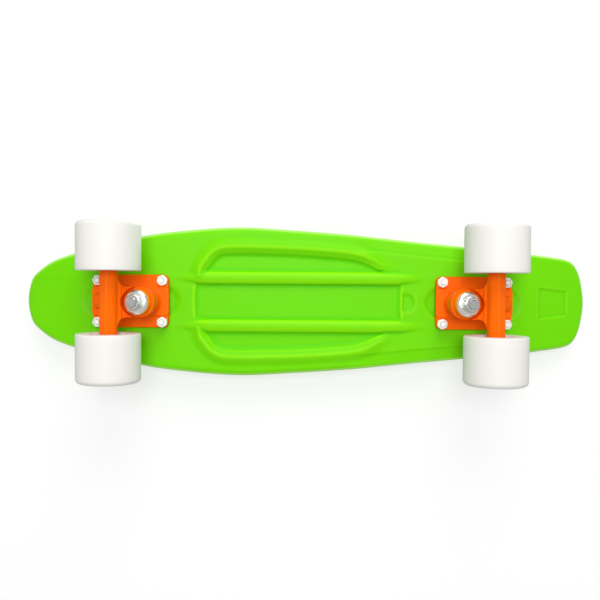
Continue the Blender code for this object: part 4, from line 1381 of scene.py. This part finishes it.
def hexagon_side(flats: float, bottom: float, top: float) -> list[Point]:
    """The outer side of a hexagonal head or nut, as a section whose corners are turned off in cones.

    Args:
        flats: Its size across the flats.
        bottom: Height of one face.
        top: Height of the other.

    Returns:
        Points (radius, height) from the bottom to the top.
    """
    corner, face = flats / 2 / cos(pi / 6), flats / 2 * 0.965
    steps = [(face + (corner - face) * k / 5, (corner - face) * 0.55 * k / 5) for k in range(6)]
    return [(r, bottom + h) for r, h in steps] + [(r, top - h) for r, h in reversed(steps)]


def hexed(obj: Obj, flats: float) -> Obj:
    """Press a turned piece's outermost part in to a hexagon."""
    for vertex in obj.data.vertices:
        radius = hypot(vertex.co.x, vertex.co.y)
        turn = (math.atan2(vertex.co.y, vertex.co.x) + pi / 6) % (pi / 3) - pi / 6
        reach = flats / 2 / cos(turn)
        if radius > reach:
            vertex.co.x *= reach / radius
            vertex.co.y *= reach / radius
    return obj


@dataclass
class LockNut:
    """A lock nut: a chamfered hexagon with a round collar that holds a nylon ring."""

    name: str
    flats: float
    bore: float
    height: float
    collar: float
    segments: int = 72

    def body(self) -> Obj:
        """The steel part, standing on zero with its collar up."""
        flat_top, high = self.height * 0.74, self.height
        inner = self.collar - 0.0005
        section = [(self.bore, 0.0006), (self.bore + 0.0006, 0), *hexagon_side(self.flats, 0, flat_top),
                   (self.collar, flat_top), (self.collar, high * 0.93), (self.collar - 0.0004, high),
                   (inner - 0.0003, high), (inner - 0.0003, high - 0.0003), (inner, high - 0.0005),
                   (inner, flat_top + 0.0001), (self.bore, flat_top + 0.0001)]
        return smoothed(hexed(turned(self.name, section, self.segments), self.flats), 26)

    def ring(self) -> Obj:
        """The nylon ring inside the collar."""
        inner, low, high = self.collar - 0.00055, self.height * 0.74 + 0.00015, self.height - 0.00035
        tight = self.bore - 0.00025
        section = [(tight, low), (inner, low), (inner, high - 0.0003), (inner - 0.0003, high),
                   (tight + 0.0002, high), (tight, high - 0.0002)]
        return smoothed(turned(f"{self.name}_nylon", section, 40), 40)


@dataclass
class WheelSet:
    """A wheel with its core, bearings, spacer, washers and nut, all turned about Z with +Z outboard."""

    radius: float = 0.030
    half: float = 0.023
    lip: float = 0.0045
    inner_edge: float = 0.0012
    mouth: float = 0.0170
    seat: float = 0.0113
    middle: float = 0.0525
    bearing_width: float = 0.007
    bearing_seat: float = 0.005
    spacer_length: float = 0.0094

    def wheel(self) -> Obj:
        """The urethane tyre, with a rounded outer lip and a small inner edge."""
        half, radius = self.half, self.radius
        lip = arc((radius - self.lip, half - self.lip), self.lip, 0, 90, 10)
        edge = arc((radius - self.inner_edge, -half + self.inner_edge), self.inner_edge, -90, 0, 5)
        outer_face = [(0.0212, half), (0.0208, half - 0.0003), (0.0200, half - 0.0003), (0.0196, half),
                      (self.mouth + 0.0008, half), (self.mouth, half - 0.0008)]
        inner_face = [(self.mouth, -half + 0.0008), (self.mouth + 0.0008, -half), (0.0196, -half),
                      (0.0200, -half + 0.0003), (0.0208, -half + 0.0003), (0.0212, -half)]
        tread = [(radius, -half + self.inner_edge + (2 * half - self.inner_edge - self.lip) * k / 6)
                 for k in range(1, 6)]
        section = [*inner_face, *edge, *tread, *lip, *outer_face, (self.mouth - 0.0022, 0.0135),
                   (0.0135, 0.0127), (0.0135, -0.0127), (self.mouth - 0.0022, -0.0135)]
        return smoothed(turned("wheel", section, 96), 32)

    def core(self) -> Obj:
        """The harder core that holds the bearings, stepped between their seats."""
        section = [(self.seat, -0.0122), (self.seat + 0.0006, -0.0126), (0.01345, -0.0126), (0.01345, 0.0126),
                   (self.seat + 0.0006, 0.0126), (self.seat, 0.0122), (self.seat, 0.0047), (0.0086, 0.0047),
                   (0.0086, -0.0047), (self.seat, -0.0047)]
        return smoothed(turned("wheel_core", section, 64), 32)

    def bearing(self) -> Obj:
        """The bearing's outer ring with its pressed shield, from zero up with the shield on top."""
        high = self.bearing_width
        section = [(0.0093, 0.0004), (0.0096, 0), (0.0107, 0), (0.0110, 0.0003), (0.0110, high - 0.0003),
                   (0.0107, high), (0.0096, high), (0.0093, high - 0.0003), (0.0091, high - 0.0006),
                   (0.0078, high - 0.00045), (0.0070, high - 0.0005), (0.0069, high - 0.0007),
                   (0.0069, 0.0007), (0.0070, 0.0005), (0.0078, 0.00045), (0.0091, 0.0006)]
        return smoothed(turned("bearing", section, 56), 30)

    def inner_ring(self) -> Obj:
        """The bearing's inner ring."""
        high = self.bearing_width
        section = [(0.0043, 0.0003), (0.0046, 0), (0.0062, 0), (0.0065, 0.0003), (0.0065, high - 0.0003),
                   (0.0062, high), (0.0046, high), (0.0043, high - 0.0003)]
        return smoothed(turned("bearing_inner_ring", section, 48), 30)

    def spacer(self) -> Obj:
        """The tube between the two bearings."""
        long = self.spacer_length
        section = [(0.0043, 0), (0.0054, 0), (0.0056, 0.0002), (0.0056, long - 0.0002), (0.0054, long),
                   (0.0043, long)]
        return smoothed(turned("bearing_spacer", section, 36), 30)

    def washer(self, thickness: float) -> Obj:
        """A thin speed washer with rounded rims."""
        return smoothed(turned("speed_washer", [
            (0.0043, 0), (0.0070, 0), (0.0072, 0.00015), (0.0072, thickness - 0.00015), (0.0070, thickness),
            (0.0043, thickness)], 40), 30)


@dataclass
class RunningGear:
    """Both trucks with their wheels and fasteners, each piece modelled once and copied into place."""

    truck: Truck = field(default_factory=Truck)
    wheels: WheelSet = field(default_factory=WheelSet)
    deck: Deck = field(default_factory=Deck)
    ends: tuple[tuple[str, float, int], ...] = tuple(zip(("front", "rear"), TRUCK_CENTRES, (1, -1)))

    def stand(self, centre: float, facing: int) -> Matrix:
        """From a truck's frame to the board's."""
        turn = Matrix.Rotation(0 if facing > 0 else pi, 4, "Z")
        return Matrix.Translation((centre, 0, self.truck.pad_z)) @ turn

    def place(self, model: Obj, name: str, where: Matrix) -> Obj:
        """Copy a modelled piece into place."""
        return placed(copied(model, name), where)

    def dress(self) -> None:
        """Build and finish every piece."""
        truck = self.truck
        low = -truck.ring_thickness / 2 - truck.gap
        washer_thickness = 0.0015
        nut_top = low - truck.lower_height - truck.gap - washer_thickness - truck.gap
        nut = LockNut("kingpin_nut", 0.0143, truck.kingpin_bore, 0.0088, 0.0064)
        down = Matrix.Rotation(pi, 4, "X")
        nut_body = truck.on_kingpin(placed(nut.body(), down), nut_top)
        nut_ring = truck.on_kingpin(placed(nut.ring(), down), nut_top)
        pieces = [
            (truck.baseplate(), "baseplate_piece", TRUCK_ORANGE, Slot.TRUCK, "", "baseplate"),
            (truck.pivot_cup(), "pivot_cup_piece", CUP_BLACK, Slot.PIVOT, "", "pivot_cup"),
            (truck.kingpin(), "kingpin_piece", PLAIN_STEEL, Slot.STEEL, "", "kingpin"),
            (nut_body, "kingpin_nut_piece", SATIN_ZINC, Slot.ZINC, "", "kingpin_nut"),
            (nut_ring, "kingpin_nut_nylon_piece", LOCK_NYLON, Slot.ZINC, "", "kingpin_nut"),
            (truck.cup_washer(), "cup_washer_piece", CREAM_ZINC, Slot.ZINC, "", "cup_washer"),
            (truck.hanger(), "hanger_piece", TRUCK_ORANGE, Slot.TRUCK, "hanger", "hanger"),
            (truck.axle_bar(), "axle_piece", PLAIN_STEEL, Slot.STEEL, "hanger", "axle"),
        ]
        upper = truck.on_kingpin(truck.bushing("upper_bushing", truck.upper_height), -low)
        lower = truck.on_kingpin(truck.bushing("lower_bushing", truck.lower_height), low - truck.lower_height)
        bushings = (
            (upper, "upper_bushing", 1, truck.upper_height),
            (lower, "lower_bushing", -1, truck.lower_height),
        )
        for end, centre, facing in self.ends:
            where = self.stand(centre, facing)
            for model, label, finish, slot, ride, node in pieces:
                body = f"{end}_{ride}_assembly" if ride else ROOT_BODY
                dressed(self.place(model, f"{end}_{label}", where), finish, slot, body, f"{end}_{node}")
            for model, node, sign, height in bushings:
                obj = self.place(model, f"{end}_{node}_piece", where)
                dressed(obj, BUSHING_AMBER, Slot.BUSHING, None, f"{end}_{node}")
                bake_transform(obj)
        self.discard([piece[0] for piece in pieces] + [upper, lower])
        self.dress_wheels()
        self.dress_bolts()

    def discard(self, models: Sequence[Obj]) -> None:
        """Remove the models that the pieces were copied from."""
        for model in models:
            bpy.data.objects.remove(model, do_unlink=True)

    def dress_wheels(self) -> None:
        """Finish the four wheels and what holds them."""
        wheels, truck = self.wheels, self.truck
        far = wheels.bearing_seat + wheels.bearing_width
        near, nut_foot = wheels.bearing_seat, far + 0.0013
        nut = LockNut("axle_nut", 0.0127, truck.axle_radius + truck.gap, 0.0062, 0.0056)
        bearing, ring, thin = wheels.bearing(), wheels.inner_ring(), wheels.washer(0.0007)
        models = [
            (wheels.wheel(), "tyre", WHEEL_WHITE, Slot.WHEEL, True, "wheel", 0.0),
            (wheels.core(), "core", CORE_WHITE, Slot.WHEEL, True, "wheel", 0.0),
            (bearing, "outer_bearing_piece", BEARING_STEEL, Slot.BEARING, True, "outer_bearing", near),
            (bearing, "inner_bearing_piece", BEARING_STEEL, Slot.BEARING, True, "inner_bearing", -far),
            (ring, "outer_bearing_ring", SHIELD_STEEL, Slot.BEARING, False, "outer_bearing", near),
            (ring, "inner_bearing_ring", SHIELD_STEEL, Slot.BEARING, False, "inner_bearing", -far),
            (wheels.spacer(), "bearing_spacer_piece", PLAIN_STEEL, Slot.STEEL, False, "bearing_spacer",
             -wheels.spacer_length / 2),
            (thin, "speed_washer_piece", PLAIN_STEEL, Slot.STEEL, False, "speed_washer", far + truck.gap),
            (thin, "inner_speed_washer", PLAIN_STEEL, Slot.STEEL, False, "speed_washer", -far - 0.00085),
            (nut.body(), "axle_nut_piece", BRIGHT_ZINC, Slot.ZINC, False, "axle_nut", nut_foot),
            (nut.ring(), "axle_nut_nylon", LOCK_NYLON, Slot.ZINC, False, "axle_nut", nut_foot),
        ]
        for end, centre, facing in self.ends:
            for out in (1, -1):
                side = "left" if out * facing > 0 else "right"
                corner = f"{end}_{side}"
                turn = Matrix.Rotation(-out * pi / 2, 4, "X")
                hub = self.stand(centre, facing) @ Matrix.Translation(
                    truck.axle + Vector((0, out * wheels.middle, 0))) @ turn
                for model, label, finish, slot, spins, node, height in models:
                    body = f"{corner}_wheel_assembly" if spins else f"{end}_hanger_assembly"
                    obj = self.place(model, f"{corner}_{label}", hub @ lifted(height))
                    dressed(obj, finish, slot, body, f"{corner}_{node}")
        self.discard(list({model[0] for model in models}))

    def dress_bolts(self) -> None:
        """Finish the mounting bolts and their nuts."""
        truck = self.truck
        nut = LockNut("mount_nut", 0.0095, 0.0027, 0.0052, 0.0040, 48)
        thread_past_nut, head_proud = 0.0014, 0.0002
        nut_body, nut_ring = nut.body(), nut.ring()
        nut_z = truck.pad_z - truck.base_thickness - truck.gap
        for end, centre, facing in self.ends:
            for number, (x, y) in enumerate(((1, 1), (1, -1), (-1, 1), (-1, -1)), 1):
                place = Vector((centre + facing * x * HOLE_X, facing * y * HOLE_Y, 0))
                along, across = np.array([place.x]), np.array([place.y])
                width = self.deck.half_width(along)
                head = float(self.deck.height(along, across, width, np.array([True]))[0])
                bolt = self.bolt(head - (nut_z - nut.height - thread_past_nut))
                placed(bolt, Matrix.Translation((place.x, place.y, head + head_proud)))
                bolt.name = f"{end}_mount_bolt_{number}_piece"
                dressed(bolt, BRIGHT_ZINC, Slot.ZINC, ROOT_BODY, f"{end}_mount_bolt_{number}")
                turn = Matrix.Rotation(pi, 4, "X") @ Matrix.Rotation(radians(11 * number + 17), 4, "Z")
                where = Matrix.Translation((place.x, place.y, nut_z)) @ turn
                parts = ((nut_body, "piece", BRIGHT_ZINC), (nut_ring, "nylon", LOCK_NYLON))
                for model, label, finish in parts:
                    obj = self.place(model, f"{end}_mount_nut_{number}_{label}", where)
                    dressed(obj, finish, Slot.ZINC, ROOT_BODY, f"{end}_mount_nut_{number}")
        self.discard((nut_body, nut_ring))

    def bolt(self, length: float) -> Obj:
        """A countersunk bolt with a cross recess, its head's face at zero."""
        head = [(0.0024, -0.0027), (0.0046, -0.0004), (0.0047, -0.0002), (0.0045, 0), (0, 0)]
        shank = threaded("mount_bolt", 0.0024, -length, -length + 0.0080, head, 0.0008, 24)
        slots = []
        for angle in (0, pi / 2):
            slot = extruded("slot", rounded_rectangle(0.0050, 0.0009, 0.0003, 2), -0.0016, 0.001)
            for vertex in slot.data.vertices:
                if vertex.co.z < 0:
                    vertex.co.x *= 0.45
            slots.append(placed(slot, Matrix.Rotation(angle + pi / 4, 4, "Z")))
        return smoothed(combined(shank, Cut.REMOVE, *slots), 30)


# ---------------------------------------------------------------- studio
@dataclass
class Studio:
    """The plain white surroundings, the lights and the camera."""

    floor: float = 0.0
    back: float = 0.1095
    spread: float = 40.0
    white: tuple[float, float, float] = (0.80, 0.80, 0.80)
    backdrop: tuple[float, float, float] = (0.34, 0.38, 0.34)
    floor_glow: tuple[float, float, float] = (0.10, 0.10, 0.10)
    backdrop_glow: tuple[float, float, float] = (0.625, 0.59, 0.625)
    eye: tuple[float, float, float] = (0.0088, 0.0190, -0.6240)
    aim: tuple[float, float, float] = (0.0091, 0.0021, 0.0763)
    roll: float = radians(-0.40)
    lens: float = 41.96

    def one_sided(self, name: str, colour: tuple[float, float, float],
                  glow: tuple[float, float, float]) -> bpy.types.Material:
        """A matt, faintly glowing surface that can't be seen from behind."""
        material = bpy.data.materials.new(name)
        material.use_nodes = True
        nodes = Nodes(material.node_tree)
        shader = material.node_tree.nodes["Principled BSDF"]
        shader.inputs["Base Color"].default_value = (*colour, 1)
        shader.inputs["Roughness"].default_value = 0.9
        shader.inputs["Specular IOR Level"].default_value = 0.1
        shader.inputs["Emission Color"].default_value = (*glow, 1)
        shader.inputs["Emission Strength"].default_value = 1.0
        mix = nodes.add("MixShader")
        clear = nodes.add("BsdfTransparent")
        nodes.link(nodes.add("NewGeometry").outputs["Backfacing"], mix.inputs[0])
        nodes.link(shader.outputs[0], mix.inputs[1])
        nodes.link(clear.outputs[0], mix.inputs[2])
        nodes.link(mix.outputs[0], material.node_tree.nodes["Material Output"].inputs["Surface"])
        return material

    def sheet(self, name: str, height: float, facing: int, colour: tuple[float, float, float],
              glow: tuple[float, float, float]) -> None:
        """One plane of the surroundings, seen from one side and lighting nothing."""
        deselect()
        bpy.ops.mesh.primitive_plane_add(size=self.spread)
        obj = named(name)
        placed(obj, Matrix.Translation((0, 0, height)))
        if facing < 0:
            obj.data.flip_normals()
        obj.data.materials.append(self.one_sided(name, colour, glow))
        obj.visible_shadow = False
        obj.visible_diffuse = False
        obj.visible_glossy = False

    def light(self, name: str, place: tuple[float, float, float], size: float, power: float) -> None:
        """A round soft light that faces the board."""
        data = bpy.data.lights.new(name, "AREA")
        data.shape = "DISK"
        data.size = size
        data.energy = power
        obj = bpy.data.objects.new(name, data)
        bpy.context.scene.collection.objects.link(obj)
        away = Vector(place) - Vector((0, 0, 0.06))
        obj.matrix_world = Matrix.Translation(place) @ away.to_track_quat("Z", "Y").to_matrix().to_4x4()

    def world(self, strength: float) -> None:
        """Even light from all round."""
        world = bpy.data.worlds.new("studio")
        bpy.context.scene.world = world
        world.use_nodes = True
        background = world.node_tree.nodes["Background"]
        background.inputs["Color"].default_value = (1, 1, 1, 1)
        background.inputs["Strength"].default_value = strength

    def camera(self) -> None:
        """The camera under the board, looking up at its middle."""
        data = bpy.data.cameras.new("camera")
        data.lens = self.lens
        data.sensor_width = 36
        data.clip_start = 0.01
        obj = bpy.data.objects.new("camera", data)
        bpy.context.scene.collection.objects.link(obj)
        back = (Vector(self.eye) - Vector(self.aim)).normalized()
        up = Matrix.Rotation(self.roll, 3, "Z") @ Vector((0, 1, 0))
        right = up.cross(back).normalized()
        up = back.cross(right)
        turn = Matrix((right, up, back)).transposed().to_4x4()
        obj.matrix_world = Matrix.Translation(self.eye) @ turn
        bpy.context.scene.camera = obj

    def build(self) -> None:
        """Set up everything."""
        self.sheet("studio_floor", self.floor, 1, self.white, self.floor_glow)
        self.sheet("studio_back", self.back, -1, self.backdrop, self.backdrop_glow)
        self.light("key_below", (-0.15, 1.35, -1.00), 1.2, 15)
        self.light("fill_below", (0.05, 0.34, -1.85), 0.75, 15.3)
        self.light("key_above", (-0.9, 1.0, 1.7), 1.2, 20)
        self.world(0.56)
        self.camera()
        bpy.context.scene.view_settings.view_transform = "Standard"


def main() -> None:
    """Build the board and its studio."""
    logging.basicConfig(level=logging.INFO, format="%(name)s: %(message)s")
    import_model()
    deselect()
    EFFECTS.build()
    Deck().dress()
    RunningGear().dress()
    Studio().build()


if __name__ == "__main__":
    main()
